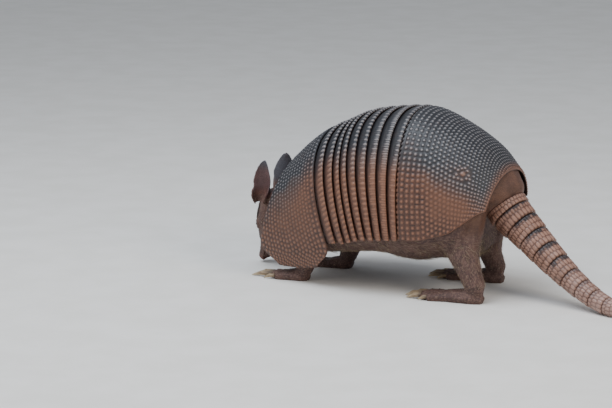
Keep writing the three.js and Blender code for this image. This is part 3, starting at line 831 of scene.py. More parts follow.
def tail_point(distance, angle, scale):
    """A point of the tail in millimetres: angle 0 is the underside, where a ring's seam hides."""
    run = tail_start + distance
    middle, ahead, behind = (at_places(run + step, tail_run, tail_line) for step in (0, 2, -2))
    along = unit(ahead - behind)
    up = unit(np.cross([0.0, -1.0, 0.0], along))
    outwards = up * -np.cos(angle)[..., None] + np.cross(along, up) * np.sin(angle)[..., None]
    return middle + MIDDLE + outwards * (tail_radius(distance) * scale)[..., None]


def tube_grid(rows, columns):
    """The point numbers of a tube of rings, with the first column again after the last."""
    index = np.arange(rows * columns).reshape(rows, columns)
    return np.concatenate([index, index[:, :1]], 1)


def fan(ring, hub):
    """Triangles from a ring of point numbers to one point."""
    return [[int(near), int(after), hub] for near, after in zip(ring, ring[1:])]


print("underside of the tail's root:", tail_point(0.0, np.zeros(1), 1.0)[0].round(1))


# %% A tube of the tail
def tail_scutes(start, end, scale_at, pitch, rows, seed):
    """Middles and widths of scutes in rows round a length of the tail."""
    middles, widths = [], []
    for row in range(rows):
        at = (row + 0.55) / rows
        girth = math.tau * float(tail_radius(start + (end - start) * at))
        count = np.arange(max(5, round(girth / pitch(at))))
        turn = (count + 0.5 * (row % 2) + 0.2 * (dice(count, seed, row) - 0.5)) / len(count) * math.tau
        middles.append(tail_point(start + (end - start) * at, turn, scale_at(at)))
        widths += [0.5 * (girth / len(count) + (end - start) / rows)] * len(count)
    return np.concatenate(middles), np.array(widths)


def tail_tube(name, start, end, scale_at, pitch, mesh_step, scute_rows, seed, stain):
    """A closed tube of the tail with scutes: scale_at gives the girth's scale at a share of the length,
    and stain says how dark the arc over its front is."""
    girth = math.tau * float(tail_radius(0.5 * (start + end)))
    rows = max(8, round((end - start) / mesh_step)) + 1
    columns = max(24, round(girth / mesh_step))
    share, angle = np.meshgrid(np.linspace(0, 1, rows), np.linspace(0, math.tau, columns, endpoint=False),
                               indexing="ij")
    distance = start + (end - start) * share
    base = tail_point(distance, angle, scale_at(share))
    reach, gap, number = near_scute(base, *tail_scutes(start, end, scale_at, pitch, scute_rows, seed))
    tone = dice(number, seed)
    arc = stain * ease(-np.cos(angle), -0.30, 0.45) * ease(share + 0.16 * (tone - 0.5), 0.40, 0.20)
    # painted shade: the first few millimetres of a ring, under the lip of the ring before, are kept flat and
    # take the dark groove colour
    past_front_shade = ease(distance - start, 0.8, 3.2)
    crest = (0.18 + 0.60 * ease(gap, 0.0, 0.40) + 0.22 * ease(reach, 0.5, 0.1)) * (1 - 0.75 * arc) * past_front_shade
    relief = 0.50 * ease(gap, 0.0, 0.40) * past_front_shade
    paler = ease(distance, 70, 230) * (0.35 + 0.65 * crest)
    outer = base + unit(base - tail_point(distance, angle, 0)) * (relief - 0.2)[..., None]
    outer[..., 2] = np.maximum(outer[..., 2], 0)
    grid, front = tube_grid(rows, columns), rows * columns
    faces = grid_faces(grid) + fan(grid[0], front) + fan(grid[-1, ::-1], front + 1)
    points = np.concatenate([outer.reshape(-1, 3), [outer[0].mean(0), outer[-1].mean(0)]])
    return add_object(name, points, faces, crest=crest, ridge=arc, tone=tone, worn=paler)


# %% Twelve rings and a tip
RING_GAP, RING_TUCK, TIP_TUCK = 0.3, 1.2, 1.0
RING_MESH, TIP_MESH = 0.6, 0.55
TIP_ROWS = 34
TAIL_STAIN = (0.2, 0.9, 1.0, 1.0, 0.95, 0.9, 0.7, 0.6, 0.45, 0.35, 0.3, 0.25)
tail_horn = horn("tail horn", (tint(24, 20, 22), tint(52, 44, 45), tint(112, 96, 94)),
                 (tint(46, 26, 21), tint(98, 65, 51), tint(148, 110, 92)), tint(184, 155, 147))


def ring_scale(share):
    """A ring starts tucked in, swells at once and flares a little to its rear lip, which is rounded."""
    return 0.895 + 0.085 * ease(share, 0.03, 0.20) + 0.045 * share - 0.055 * ease(share, 0.94, 1.0)


def ring_pitch(at):
    """Scutes stand closer together on the front part of a ring; at is a share of the ring's length."""
    return 4.8 - 0.8 * (at < 0.6)


def tip_scale(share):
    return 0.99 - 0.5 * ease(share, 0.985, 1.0)


def tip_pitch(at):
    return 3.0 - 0.9 * at


start = 0.0
for number, length in enumerate(RING_LENGTHS, 1):
    scute_rows = 2 if length < 14 or number == 2 else 3
    ring = tail_tube(f"tail_band_{number}", start - RING_TUCK, start + length - RING_GAP, ring_scale,
                     ring_pitch, RING_MESH, scute_rows, 40 + number, TAIL_STAIN[number - 1])
    dress(ring, "tail_armour", tail_horn, f"tail_ring_{number}")
    start += length
tip = tail_tube("tail_tip_scales", start - TIP_TUCK, TAIL_LENGTH, tip_scale, tip_pitch, TIP_MESH,
                TIP_ROWS, 60, 0.0)
dress(tip, "tail_armour", tail_horn, "tail_tip")

# %% [markdown]
# ## The head's own frame
# The head hangs down and turns to the right, so its features are placed in a frame of its own: forward
# along the snout, to the right, and up from the palate. Its sections give half width, height above and
# depth below at distances along it. The smooth form built from them takes the place of the faceted head
# before everything fleshy is melted into one skin.

# %% Points of the head, and a smooth head form
HEAD_ORIGIN = np.array([-158.4, 2.6, 83.8])
HEAD_FORWARD = np.array([-0.36, 0.27, -0.893])
HEAD_RIGHT = np.array([0.259, 0.933, 0.25])
HEAD_SECTIONS = np.array([
    # along, half width, above, below
    (-4, 9, 7, 8), (0, 15, 12, 13), (8, 19.5, 15.5, 16.5), (20, 21.5, 16, 18), (32, 21.5, 15, 17.5),
    (42, 18.5, 13, 15), (52, 14.8, 11, 12), (64, 11.4, 9, 9.6), (76, 9.2, 7.6, 7.8), (84, 8.6, 7.4, 6.8),
    (87, 8.4, 7.2, 6.4), (88, 7.4, 6.2, 5.4)])
EYE_AT = np.array([39.0, 16.6, 7.2])
EAR_AT = np.array([8.0, 14.5, 8.5])
SIDES = {"left": -1, "right": 1}

head_forward = unit(HEAD_FORWARD)
head_right = square_to(HEAD_RIGHT, head_forward)
head_axes = np.stack([head_forward, head_right, np.cross(head_right, head_forward)])


def head_place(local):
    """A point in millimetres from its places along, to the right of and above the head's own origin."""
    return HEAD_ORIGIN + MIDDLE + np.asarray(local, float) @ head_axes


def head_local(points):
    """Places along, to the right of and above the head's origin, for points in millimetres."""
    return (points - HEAD_ORIGIN - MIDDLE) @ head_axes.T


def on_side(place, side):
    """A place given for the right side, or its mirror image on the left."""
    return place * [1, SIDES[side], 1]


def head_point(along, angle, lift=0.0):
    half, above, below = between_rows(HEAD_SECTIONS, along)
    rise = np.where(np.cos(angle) > 0, above, below)
    return head_place(np.stack([along, np.sin(angle) * (half + lift), np.cos(angle) * (rise + lift)], -1))


def tube_faces(rows, columns):
    """Faces of a tube of rings, closed at both ends by one face."""
    grid = tube_grid(rows, columns)
    return grid_faces(grid) + [grid[0, :-1].tolist(), grid[-1, -2::-1].tolist()]


def smooth_head():
    along = np.concatenate([np.linspace(-4, 80, 70), np.linspace(81, 88, 12)])
    along, angle = np.meshgrid(along, np.linspace(0, math.tau, 72, endpoint=False), indexing="ij")
    return head_point(along, angle).reshape(-1, 3), tube_faces(*along.shape)


print("points and faces of the smooth head:", *map(len, smooth_head()))

# %% [markdown]
# ## The ears
# An ear is a thin funnel: a leaf of skin rolled round its own length, tight at the root and open above.
# It is built here as a smooth leaf with an inner and an outer side, by the rules that shaped its solid.

# %% Smooth ears
EAR_LENGTH = 46.0
EAR_WALL = 1.5
EAR_BREADTH = 14.0
EAR_POINTS = 41
EAR_AIM = {"left": (-0.03, -0.1, 1.0), "right": (0.05, 0.22, 0.97)}
EAR_OPENS = {"left": (-0.12, -1.0, 0.1), "right": (-0.45, 1.0, 0.1)}


def ear_frame(side):
    """The ear's root, and its directions: up the ear, out of its opening, and across it."""
    aim = unit(np.array(EAR_AIM[side]))
    facing = square_to(np.array(EAR_OPENS[side]), aim)
    return head_place(on_side(EAR_AT, side)), aim, facing, np.cross(aim, facing)


def ear_leaf(side, wall):
    """One face of the leaf, wall millimetres in from its outer side."""
    root, aim, facing, across = ear_frame(side)
    t, s = np.meshgrid(np.linspace(0, 1, EAR_POINTS), np.linspace(-1, 1, EAR_POINTS), indexing="ij")
    breadth = EAR_BREADTH * np.sin(math.pi * (0.17 + 0.83 * t) ** 0.92) ** 0.6 + 1.2
    opening = 2.5 - 1.45 * ease(t, 0, 0.55)
    rolled = breadth / np.minimum(opening, 1.35)
    ahead = rolled - 6 - 3 * t * t - np.cos(s * opening) * (rolled - wall)
    aside = np.sin(s * opening) * (rolled - wall)
    steps = np.stack([EAR_LENGTH * t - 3, ahead, aside], -1)
    return root + steps @ np.stack([aim, facing, across])


def smooth_ear(side):
    return slab(ear_leaf(side, -0.1), ear_leaf(side, EAR_WALL), 1, flip=True)


print("head tip at", head_place([88, 0, 0]).round(1), "ear roots", [ear_frame(s)[0].round(1) for s in SIDES])

# %% [markdown]
# ## One skin over all the flesh
# The trunk, neck, head, ears, legs and feet arrive as separate solids with hair-thin gaps. Living skin has
# no such seams. The solids are swollen just enough to close the gaps, melted together by a voxel remesh,
# and smoothed until no facet is left. Under the shell nobody sees the skin, so there it is thinned out.

# %% Reading meshes, joining and changing them
WELD = 0.00001  # metres


def read(items, field, wide, kind=np.float32):
    """One field of every item of a mesh, in rows of numbers."""
    values = np.empty(len(items) * wide, kind)
    items.foreach_get(field, values)
    return values.reshape(-1, wide)


def places(mesh):
    """A mesh's points in millimetres."""
    return read(mesh.vertices, "co", 3).astype(float) / MM


def put_places(mesh, points):
    mesh.vertices.foreach_set("co", (points * MM).astype(np.float32).ravel())
    mesh.update()


def normals(mesh):
    return read(mesh.vertex_normals, "vector", 3).astype(float)


def joined(forms):
    """The points and faces of several forms as one."""
    points, faces = [], []
    for some_points, some_faces in forms:
        faces += [[corner + len(points) for corner in face] for face in some_faces]
        points += some_points.tolist()
    return points, faces


def form_of(mesh, swell=0.0):
    """A mesh's points in millimetres, pushed out by swell, and its faces."""
    return places(mesh) + normals(mesh) * swell, [list(face.vertices) for face in mesh.polygons]


def welded(name):
    """A copy of a solid's mesh in which points at one place are one."""
    mesh = nodes[name].data.copy()
    work = bmesh.new()
    work.from_mesh(mesh)
    bmesh.ops.remove_doubles(work, verts=work.verts, dist=WELD)
    work.to_mesh(mesh)
    work.free()
    return mesh


def modify(piece, kind, **settings):
    """Adds one modifier with its settings."""
    made = piece.modifiers.new(kind.lower(), kind)
    for name, value in settings.items():
        setattr(made, name, value)


def settle(piece):
    """Applies a piece's modifiers."""
    graph = bpy.context.evaluated_depsgraph_get()
    made = bpy.data.meshes.new_from_object(piece.evaluated_get(graph))
    piece.modifiers.clear()
    piece.data = made
    piece.vertex_groups.clear()
    return piece


print("points of the trunk:", len(places(nodes["trunk"].data)))


# %% Melt the flesh together
FLESH = ["trunk", "neck", "head", "ear_left", "ear_right"] + [
    f"{part}_{side}" for part in ("hindleg", "hindfoot", "foreleg", "forefoot") for side in SIDES]
REMADE = ("head", "ear_left", "ear_right")  # already built above as smooth forms
SWELL = 0.40
VOXEL = 1.05


def melt():
    forms = [smooth_head(), smooth_ear("left"), smooth_ear("right")]
    forms += [form_of(welded(name), SWELL) for name in FLESH if name not in REMADE]
    skin = add_object("skin", *joined(forms))
    modify(skin, "REMESH", mode="VOXEL", voxel_size=VOXEL * MM)
    return settle(skin)


skin = melt()
print("skin points after melting:", len(skin.data.vertices))

# %% [markdown]
# ## Smoothing and thinning
# Broad parts can be smoothed hard, but toes, snout and the thin rims of the ears would melt away. So each
# point is given a softness, and the smoothing follows it. Thinning is steered in the same way, by whether
# a ray straight out of the skin meets a plate of the shell.

# %% Softness by region
WEIGHT_STEPS = 20


def near_feet(points):
    """1 on the feet and toes, 0 above the ankles."""
    return ease(points[:, 2], 24, 15)


def on_head(points):
    """1 on the head from just behind the jaw, 0 on the neck."""
    along, side, above = head_local(points).T
    return ease(along, -4, 6) * ease(np.hypot(side, above), 34, 28)


def ear_share(points, side):
    """How far up an ear each point is, 0 at the root and 1 at the tip, or -1 off that ear."""
    root, aim, facing, across = ear_frame(side)
    from_root = points - root
    up = from_root @ aim
    near = np.hypot((from_root - np.outer(up, aim)) @ across, (from_root - np.outer(up, aim)) @ facing)
    return np.where((near < 19) & (up > 5), np.clip((up + 3) / EAR_LENGTH, 0, 1), -1.0)


def on_ears(points):
    return np.maximum(ear_share(points, "left"), ear_share(points, "right")) > 0


def weigh(piece, name, weights):
    """A vertex group from weights, in twenty steps."""
    group = piece.vertex_groups.new(name=name)
    stepped = np.round(np.clip(weights, 0, 1) * WEIGHT_STEPS).astype(int)
    for level in range(1, WEIGHT_STEPS + 1):
        chosen = np.flatnonzero(stepped == level)
        if len(chosen):
            group.add(chosen.tolist(), level / WEIGHT_STEPS, "REPLACE")
    return name


points = places(skin.data)
broad = (1 - near_feet(points)) * (1 - on_head(points)) * ~on_ears(points)
modify(skin, "SMOOTH", factor=0.5, iterations=45, vertex_group=weigh(skin, "broad", broad))
all_over = weigh(skin, "everywhere", 1 - 0.75 * on_ears(points))
modify(skin, "SMOOTH", factor=0.5, iterations=5, vertex_group=all_over)
settle(skin)
print("points on the broad parts:", int((broad > 0.5).sum()))


# %% Thin out what the shell hides
HIDDEN_REACH = 9.0
HIDDEN_MARGIN = 6


def shell_tree():
    """A tree of the shell's faces, in metres, that rays can be cast at."""
    plates = [node.data for name, node in nodes.items() if name.startswith(("band", "shield"))]
    points, faces = joined([form_of(mesh) for mesh in plates])
    return BVHTree.FromPolygons((np.array(points) * MM).tolist(), faces)


def covered(points, directions):
    """1 where a ray straight out of the skin meets a plate of the shell close by."""
    tree = shell_tree()
    hits = [tree.ray_cast(Vector(p), Vector(d), HIDDEN_REACH * MM)[0] is not None
            for p, d in zip(points * MM, directions)]
    return np.array(hits)


def thin(piece, keep_hidden, keep_broad):
    """Thins the covered part of the skin hard, and the broad parts a little."""
    mesh = piece.data
    points = places(mesh)
    broad = (near_feet(points) < 0.5) & (on_head(points) < 0.5) & ~on_ears(points)
    hidden = covered(points, normals(mesh))
    first, second = read(mesh.edges, "vertices", 2, np.int32).T
    for _ in range(HIDDEN_MARGIN):
        bare = ~hidden
        hidden[np.concatenate([second[bare[first]], first[bare[second]]])] = False
    left = 1.0
    for name, chosen, keep in (("hidden", hidden, keep_hidden), ("broad", broad & ~hidden, keep_broad)):
        taken = chosen.mean() * (1 - keep)
        modify(piece, "DECIMATE", ratio=1 - taken / left, vertex_group=weigh(piece, name, chosen))
        left -= taken
    settle(piece)
    return hidden.mean()


share_hidden = thin(skin, keep_hidden=0.06, keep_broad=0.5)
print("hidden share:", round(float(share_hidden), 2), "points now:", len(skin.data.vertices))


# %% Finer mesh on the head
def refine(piece, chosen):
    """Splits every face whose corners are all chosen into four."""
    fine = bmesh.new()
    fine.from_mesh(piece.data)
    fine.verts.ensure_lookup_table()
    edges = [edge for edge in fine.edges if chosen[edge.verts[0].index] and chosen[edge.verts[1].index]]
    bmesh.ops.subdivide_edges(fine, edges=edges, cuts=1, use_grid_fill=True, smooth=0.0)
    fine.to_mesh(piece.data)
    fine.free()


refine(skin, on_head(places(skin.data)) > 0.5)
triangles = sum(len(face.vertices) - 2 for face in skin.data.polygons)
print("skin points after refining the head:", len(skin.data.vertices), "triangles:", triangles)

# %% [markdown]
# ## Sculpting the skin
# Everything that a sculptor would press into the clay is a small push along the surface's own normal,
# worked out from where a point lies: lids round the eyes, nostrils, the long mouth, folds on the neck,
# fine rings of skin round the root of the tail, scales on the legs. Each push is a short function or a
# line, so any of them can be changed alone. The same places also give the numbers that colour the skin.

# %% Eyes, nostrils and mouth
EYE_OUT = np.array([0.0, 0.763, 0.646])
LID_HEIGHT = 2.3
LID_OPENS, LID_CLOSED, LID_ENDS = 1.9, 2.6, 6.6
NOSTRIL = (87.2, 3.9, -0.6)
MOUTH_FROM, MOUTH_TO = 45.0, 86.0


def eye_reach(points, side):
    """Distance from an eye's middle over the skin, measured in a slightly almond-shaped way."""
    local = (points - head_place(on_side(EYE_AT, side))) @ head_axes.T
    look = on_side(EYE_OUT, side)
    beside = np.cross(look, [1.0, 0, 0])
    reach = np.hypot(local[:, 0] / 1.22, (local @ beside) / 0.92)
    return np.where(local @ look > -4, reach, 50.0)


def lids(points):
    push = np.zeros(len(points))
    for side in SIDES:
        reach = eye_reach(points, side)
        push += LID_HEIGHT * ease(reach, LID_OPENS, LID_CLOSED) * ease(reach, LID_ENDS, LID_CLOSED + 0.4)
        push += 0.22 * np.cos(reach * 3.4) * hump(reach - 4.6, 1.6)
    return push


def nostrils(points):
    along, side, above = head_local(points).T
    reach = np.hypot(np.abs(side) - NOSTRIL[1], above - NOSTRIL[2])
    front = ease(along, NOSTRIL[0] - 2.2, NOSTRIL[0])
    return front * (0.5 * hump(reach - 2.5, 0.8) - 2.6 * hump(reach, 1.35))


def mouth(points):
    """The long slit of the mouth, the upper lip over it, and a lower jaw that stops short of the nose."""
    along, _, above = head_local(points).T
    _, _, below = between_rows(HEAD_SECTIONS, np.clip(along, -4, 88))
    over = above + 0.40 * below + 0.6
    inside = ease(along, MOUTH_FROM, MOUTH_FROM + 6) * ease(along, 90, 87) * on_head(points)
    groove = -1.0 * hump(over, 0.6) * ease(along, MOUTH_TO + 2, MOUTH_TO - 2)
    jaw = ease(over, 0.2, -0.8) * (-0.5 - 1.7 * ease(along, 79, 86))
    return inside * (groove + 0.35 * hump(over - 1.6, 1.1) + jaw)


print("push at a nostril:", nostrils(head_place([NOSTRIL])).round(2), "mm")


# %% Scales, waves and regions of the skin
def cells(points, size):
    """0 between cells and 1 inside them, for a mosaic with cells of one size in millimetres."""
    near = np.array([noise.voronoi(Vector(p))[0][:2] for p in points / size])
    return ease(near[:, 1] - near[:, 0], 0.02, 0.34)


def waves(run, long, shift=0.0):
    """Waves along a run, each so long."""
    return np.cos(run * math.tau / long + shift)


def regions(points):
    """How much each point belongs to each region of the skin, from 0 to 1."""
    along_body, _, high = (points - MIDDLE).T
    head = on_head(points)
    off_head = 1 - head
    ears = on_ears(points)
    legs = ease(high, 62, 44) * off_head * ease(np.abs(points[:, 1]), 16, 26)
    return {
        "head": head * ~ears,
        "neck": ease(along_body, -98, -112) * off_head * ~ears * ease(high, 40, 52),
        "rump": ease(along_body, 88, 104) * ease(high, 66, 80),
        "legs": legs,
        "feet": near_feet(points),
        "belly": ease(high, 74, 58) * (1 - legs) * off_head * ease(along_body, -125, -105),
        "snout": ease(head_local(points)[:, 0], 74, 86) * head,
    }


points, out = places(skin.data), normals(skin.data)
zone = regions(points)
scales = cells(points, 3.1)
tail_root, further = tail_line[np.searchsorted(tail_run, [tail_start, tail_start + 4])] + MIDDLE
tail_distance = (points - tail_root) @ unit(further - tail_root)
neck_run = (points - HEAD_ORIGIN) @ unit(head_forward + np.array([-1.0, 0, 0]))
soft = ripple(points, 9.0, (0, 1, 0))
print("regions:", {name: int((share > 0.5).sum()) for name, share in zone.items()})

# %% Push the skin into shape
push = 0.25 * soft
push += lids(points) + nostrils(points) + mouth(points)
push += zone["neck"] * (0.85 * waves(neck_run, 7.5, 1.5 * soft) + 0.22 * scales)
push += zone["rump"] * 0.13 * waves(tail_distance, 2.6, 0.8 * soft)
push += zone["feet"] * 0.10 * waves(points[:, 0], 2.8)
push += zone["belly"] * 0.35 * waves(points[:, 0] + 2 * soft, 8.0)
scaly = 0.34 * zone["legs"] * (1 - zone["feet"]) + 0.22 * zone["feet"] + 0.28 * zone["belly"]
push += (scaly + 0.16 * zone["head"] * (1 - zone["snout"])) * (scales - 0.6)
points = points + out * push[:, None]
points[:, 2] = np.maximum(points[:, 2], 0)
put_places(skin.data, points)
skin.data.shade_smooth()
print("pushes run from", round(float(push.min()), 2), "to", round(float(push.max()), 2), "mm")

# %% [markdown]
# ## What the skin looks like
# Bare armadillo skin is leathery: purple-brown under the body and on the legs, warmer and paler on the
# rump, pink inside the ears and on the nose. Numbers stored on the mesh say how far each of these holds,
# and fine pebbling too small for the mesh is left to the bump.

# %% The skin's finish
def bare_skin():
    made, shader, wire = surface("bare skin", Specular_IOR_Level=0.4)
    scale, pink, warm, ear = marks(wire, "scale", "pink", "warm", "ear")
    blotch = grain(wire, 0.013, 4.0, 0.6)
    fine = grain(wire, 0.0013, 3.0, 0.6)
    place = wire.add("TexCoord", output=3)
    pebble = wire.add("TexVoronoi", {"feature": "DISTANCE_TO_EDGE"}, {"Vector": place, "Scale": 620.0})
    between = pebble.ease(0.0, 0.22)
    base = blotch.ease(0.32, 0.68).blend(tint(66, 46, 42), tint(96, 70, 62))
    base = (scale.ease(0.2, 0.9) * 0.5).blend(base, tint(128, 100, 88))
    patchy = blotch.ease(0.3, 0.7)
    base = warm.blend(base, patchy.blend(tint(80, 54, 42), tint(108, 76, 60)))
    base = ear.blend(base, patchy.blend(tint(54, 55, 61), tint(80, 80, 87)))
    base = (pink * 0.75).blend(base, patchy.blend(tint(90, 50, 42), tint(118, 73, 62)))
    feed(shader, Base_Color=((1 - between) * 0.45).blend(base, tint(48, 32, 30)),
         Roughness=0.50 + fine * 0.26 - pink * 0.06, Normal=(between * 0.6 + fine * 0.4).bump(0.45, 0.0006))
    return made


ear_zone, ear_inside = np.zeros((2, len(points)))
for side in SIDES:
    root, _, facing, _ = ear_frame(side)
    share = ear_share(points, side)
    leaf = ease(np.abs((points - root) @ facing), 11, 8)
    ear_zone = np.maximum(ear_zone, leaf * ease(share, 0.20, 0.42))
    ear_inside += leaf * (share > 0) * ease(normals(skin.data) @ facing, 0.0, 0.5) * ease(share, 0.98, 0.7)
nose = zone["snout"] * ease(head_local(points)[:, 0], 80, 87)
store(skin.data, scale=scales * (1 - ear_zone), ear=ear_zone,
      pink=np.clip(0.75 * ear_inside + 0.9 * nose, 0, 1),
      warm=np.clip(zone["rump"] + 0.3 * zone["neck"] + 0.3 * zone["head"], 0, 1))
dress(skin, "skin", bare_skin(), *FLESH)

# %% [markdown]
# ## Bristles
# The animal has no fur, only pale bristles scattered over the belly, legs, throat and cheeks. Each is a
# closed, three-sided spike. A particle system would scatter them too, but real mesh can be exported, so
# the roots are drawn by chance over the skin's triangles, each as likely as its area times the wanted
# density. A spike leans over at once and then lies along the body. Each also needs its own spot in a flat
# map, so the skin is unwrapped like a box: six directions, for the left half and the right half.

# %% Where the bristles root
BRISTLES = 5200  # drawn; those that the shell covers are dropped


def wanted(points):
    """The share of the full density that each point of the skin should carry."""
    zone = regions(points)
    along, _, _ = head_local(points).T
    face = zone["head"] * ease(along, 60, 30) * 0.5
    bare = np.maximum(zone["snout"], zone["rump"])
    eyes = np.minimum(eye_reach(points, "left"), eye_reach(points, "right"))
    share = zone["belly"] + 0.8 * zone["legs"] * (1 - 0.5 * zone["feet"]) + 0.7 * zone["neck"] + face
    return np.clip(share, 0, 1) * (1 - bare) * ease(eyes, 6, 9) * ~on_ears(points) * (points[:, 2] > 3)


def bristle_roots(mesh, count):
    """Chance places on a mesh, with the normal there."""
    mesh.calc_loop_triangles()
    corners = read(mesh.loop_triangles, "vertices", 3, np.int32)
    spots, ways = places(mesh), normals(mesh)
    a, b, c = (spots[corners[:, k]] for k in range(3))
    area = np.linalg.norm(np.cross(b - a, c - a), axis=1) / 2
    running = np.cumsum(area * wanted(spots)[corners].mean(1))
    draw = np.arange(count)
    chosen = corners[np.searchsorted(running, dice(draw, 91) * running[-1])]
    near, far = dice(draw, 92) ** 0.5, dice(draw, 93)
    parts = np.stack([1 - near, near * (1 - far), near * far], 1)[..., None]
    found, way = (spots[chosen] * parts).sum(1), (ways[chosen] * parts).sum(1)
    free = ~covered(found, way)
    return found[free], unit(way[free])


print("bristles to draw:", BRISTLES)


# %% A place in the box map
MAP_ACROSS, MAP_DOWN = 4, 3
MAP_PATCH = 0.003
MAP_MARGIN = 0.03


def box_map(points, ways):
    """Each point's place in a map of twelve fields, by the way the skin faces and by the body's half."""
    spots = places(skin.data)
    low, high = spots.min(0), spots.max(0)
    share = MAP_MARGIN + (1 - 2 * MAP_MARGIN) * (points - low) / (high - low)
    facing = np.abs(ways).argmax(1)
    toward = np.take_along_axis(ways, facing[:, None], 1)[:, 0] > 0
    field = facing * 4 + toward * 2 + (points[:, 1] > MIDDLE[1])
    across = np.where(facing == 0, share[:, 1], share[:, 0])
    down = np.where(facing == 2, share[:, 1], share[:, 2])
    return np.stack([(field % MAP_ACROSS + across) / MAP_ACROSS, (field // MAP_ACROSS + down) / MAP_DOWN], 1)


print("fields in the map:", MAP_ACROSS * MAP_DOWN)


# %% Spikes from roots
SPIKE_AT = np.repeat([0.0, 0.35, 0.7, 1.0], [3, 3, 3, 1])  # three rings of three points, and the tip
SPIKE_CORNER = np.array([0, 1, 2, 0, 1, 2, 0, 1, 2, 1])
SPIKE_SUNK = 0.4


def lie_of(ways, zone):
    """The way a bristle lies: to the rear along the body, down the legs, towards the toes on the feet."""
    legs, feet = zone["legs"][:, None], zone["feet"][:, None]
    lie = np.array([1.0, 0, -0.25]) * (1 - legs) + np.array([0.15, 0, -1.0]) * legs
    return square_to(lie * (1 - feet) + np.array([-1.0, 0, -0.15]) * feet, ways)


def spike_faces():
    """The faces of one spike: three sides in two steps, three to the tip, and the root."""
    after = (1, 2, 0)
    faces = [[ring + k, ring + after[k], ring + 3 + after[k], ring + 3 + k]
             for ring in (0, 3) for k in range(3)]
    return faces + [[6 + k, 6 + after[k], 9] for k in range(3)] + [[2, 1, 0]]


def bristles():
    roots, ways = bristle_roots(skin.data, BRISTLES)
    draw = np.arange(len(roots))
    zone = regions(roots)
    lie = lie_of(ways, zone)
    swing = 0.9 * (dice(draw, 94) - 0.5)[:, None]
    lie = lie * np.cos(swing) + np.cross(ways, lie) * np.sin(swing)
    small = np.maximum(zone["feet"], zone["head"])
    long = ((7.5 - 2.0 * zone["legs"]) * (1 - small) + 3.0 * small) * (0.7 + 0.6 * dice(draw, 95))
    rise = np.outer(long, 0.42 * SPIKE_AT - 0.30 * SPIKE_AT ** 2) - SPIKE_SUNK * (SPIKE_AT == 0)
    wide = np.outer(0.055 + 0.012 * long, (1 - 0.75 * SPIKE_AT) * (SPIKE_AT < 1))
    turn = math.tau * SPIKE_CORNER / 3
    steps = np.stack([rise + wide * np.cos(turn), wide * np.sin(turn), np.outer(long, SPIKE_AT)], 2)
    points = roots[:, None] + steps @ np.stack([ways, np.cross(ways, lie), lie], 1)
    faces = [[spike * len(SPIKE_AT) + corner for corner in face] for spike in draw.tolist()
             for face in spike_faces()]
    made = add_object("bristles", points.reshape(-1, 3), faces, toward_tip=np.tile(SPIKE_AT, len(roots)),
                      warm=np.repeat(dice(draw, 96), len(SPIKE_AT)))
    spread = MAP_PATCH * np.stack([SPIKE_CORNER / 2 - 0.5, SPIKE_AT - 0.5], 1)
    flat = (box_map(roots, ways)[:, None] + spread).reshape(-1, 2)
    corners = read(made.data.loops, "vertex_index", 1, np.int32).ravel()
    made.data.uv_layers.new(name="OFBake").data.foreach_set("uv", flat[corners].astype(np.float32).ravel())
    return made


def bristle_finish():
    made, shader, wire = surface("bristle", Roughness=0.45, Specular_IOR_Level=0.4)
    toward_tip, warm = marks(wire, "toward_tip", "warm")
    streak = grain(wire, 0.004, 2.0)
    straw = (warm * 0.7 + streak * 0.3).blend(tint(120, 98, 76), tint(196, 178, 148))
    feed(shader, Base_Color=toward_tip.ease(0.0, 0.5).blend(tint(84, 62, 52), straw))
    return made


dress(bristles(), "skin", bristle_finish())

# %% [markdown]
# ## The head shield
# A plate of irregular scutes covers the crown and forehead, from between the ears down to the bridge of
# the snout. It is laid on the head's own form, a little proud of it.

# %% Irregular scutes on the crown
CROWN_FROM, CROWN_TO = 6.0, 64.0
CROWN_LIFT, CROWN_THICK = 1.5, 1.3
CROWN_ROWS, CROWN_COLUMNS = 144, 96


def head_shield():
    share, s = np.meshgrid(np.linspace(1, 0, CROWN_ROWS + 1), np.linspace(-1, 1, CROWN_COLUMNS + 1),
                           indexing="ij")
    angle = s * (0.42 + 0.42 * np.sin(math.pi * share) ** 0.8 + 0.12 * share)
    along = CROWN_FROM + (CROWN_TO - CROWN_FROM) * share - 2.5 * s * s * (1 - share) + 2 * s * s * share
    base = head_point(along, angle, CROWN_LIFT - 0.2)
    run = travel(base)
    reach, gap, number = near_scute(base, *lay_scutes(base, run, 4.2, 0.9, 0.6, 71))
    relief = 0.42 * ease(gap, 0.0, 0.35) + 0.12 * ease(reach, 0.5, 0.1)
    relief = relief - rounded_rim(from_edge(run, travel(base, 1)), 1.2)
    inner = head_point(along, angle, CROWN_LIFT - CROWN_THICK)[::COARSE, ::COARSE]
    crest = 0.06 + 0.50 * ease(gap, 0.02, 0.4)
    return add_object("crown_shield", *slab(base + outward(base) * relief[..., None], inner), crest=crest,
                      ridge=np.full(crest.shape, 0.7), tone=dice(number, 72), worn=0.4 * crest)


dress(head_shield(), "shell", shell_horn, "head_shield")

# %% [markdown]
# ## Eyes and claws
# The eyes are small, dark and wet. Each is a ball with a slightly fuller front, and its iris is hardly
# paler than the pupil. The claws are horn: each is melted from its own solid to lose the facets, and the
# fine grain that runs along it comes from a stretched noise.

# %% Wet eyes
EYE_SCALE = 0.94  # of its solid
EYE_SUNK = 0.5


def eye_finish():
    made, shader, wire = surface("wet eye", Roughness=0.28, Specular_IOR_Level=0.25, Coat_Weight=0.15,
                                 Coat_Roughness=0.06)
    iris, = marks(wire, "iris")
    streak = grain(wire, 0.0007, 2.0)
    ring = iris.ease(0.40, 0.62) * iris.ease(0.98, 0.85)
    brown = streak.ease(0.3, 0.7).blend(tint(30, 20, 15), tint(58, 38, 26))
    feed(shader, Base_Color=ring.blend(tint(9, 8, 8), brown))
    return made


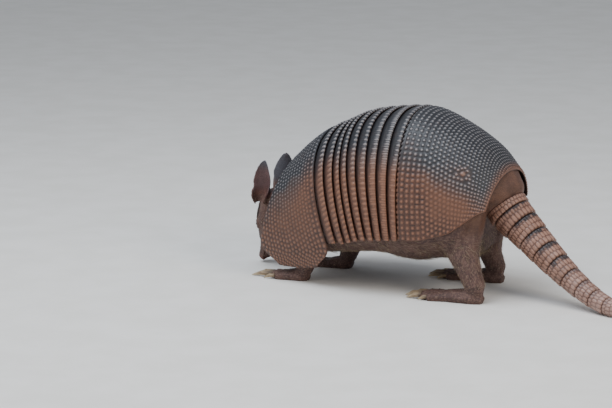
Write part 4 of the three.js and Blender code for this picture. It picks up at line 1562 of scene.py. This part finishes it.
def eyeball(side):
    """A ball a little smaller than its solid and sunk into the head, fuller in front."""
    low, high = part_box(f"eye_{side}")
    look = on_side(EYE_OUT, side) @ head_axes
    middle = np.array((low + high) / 2) / MM - EYE_SUNK * look
    radius = (high - low).x / 2 / MM * EYE_SCALE
    turns = np.linspace(0, math.tau, 40, endpoint=False)
    turn, rise = np.meshgrid(turns, np.linspace(0.02, math.pi - 0.02, 30))
    beside = np.cross(look, head_forward)
    ways = np.stack([np.cos(rise), np.sin(rise) * np.cos(turn), np.sin(rise) * np.sin(turn)], -1)
    ball = ways @ np.stack([look, beside, np.cross(look, beside)])
    ball = middle + ball * (radius * (1 + 0.05 * hump(rise, 0.5)))[..., None]
    return add_object(f"eyeball_{side}", ball.reshape(-1, 3), tube_faces(*rise.shape), iris=rise / 1.1)


wet_eye = eye_finish()
for side in SIDES:
    dress(eyeball(side), "eye", wet_eye, f"eye_{side}")


# %% Claws of grained horn
CLAW_VOXEL = 0.42


def claw_finish():
    made, shader, wire = surface("claw horn")
    toward_tip, = marks(wire, "toward_tip")
    streaks = grain(wire, 0.0011, 4.0, 0.6, stretch=(0.12, 1.0, 1.0))
    dirt = grain(wire, 0.006, 3.0)
    colour = streaks.ease(0.3, 0.7).blend(tint(112, 90, 66), tint(170, 148, 116))
    colour = (toward_tip.ease(0.5, 1.0) * 0.6).blend(colour, tint(196, 180, 150))
    soiled = (1 - toward_tip).ease(0.45, 1.0) * 0.55 + dirt.ease(0.62, 0.4) * 0.25
    feed(shader, Base_Color=soiled.blend(colour, tint(64, 50, 40)), Roughness=0.34 + streaks * 0.25,
         Normal=streaks.bump(0.5, 0.0004))
    return made


def claw(name):
    made = stand(name.replace("claw", "nail"), welded(name))
    modify(made, "REMESH", mode="VOXEL", voxel_size=CLAW_VOXEL * MM)
    modify(made, "SMOOTH", iterations=10)
    settle(made)
    spots = places(made.data)
    run = spots[:, 0].max() - spots[:, 0]
    share = run / run.max()
    spots = spots + normals(made.data) * (0.18 - 0.12 * ease(share, 0.8, 1.0))[:, None]
    spots[:, 2] = np.maximum(spots[:, 2], 0)
    put_places(made.data, spots)
    store(made.data, toward_tip=share)
    made.data.shade_smooth()
    return made


claw_horn = claw_finish()
for name in nodes:
    if name.startswith("claw"):
        dress(claw(name), "claw", claw_horn, name)

# %% [markdown]
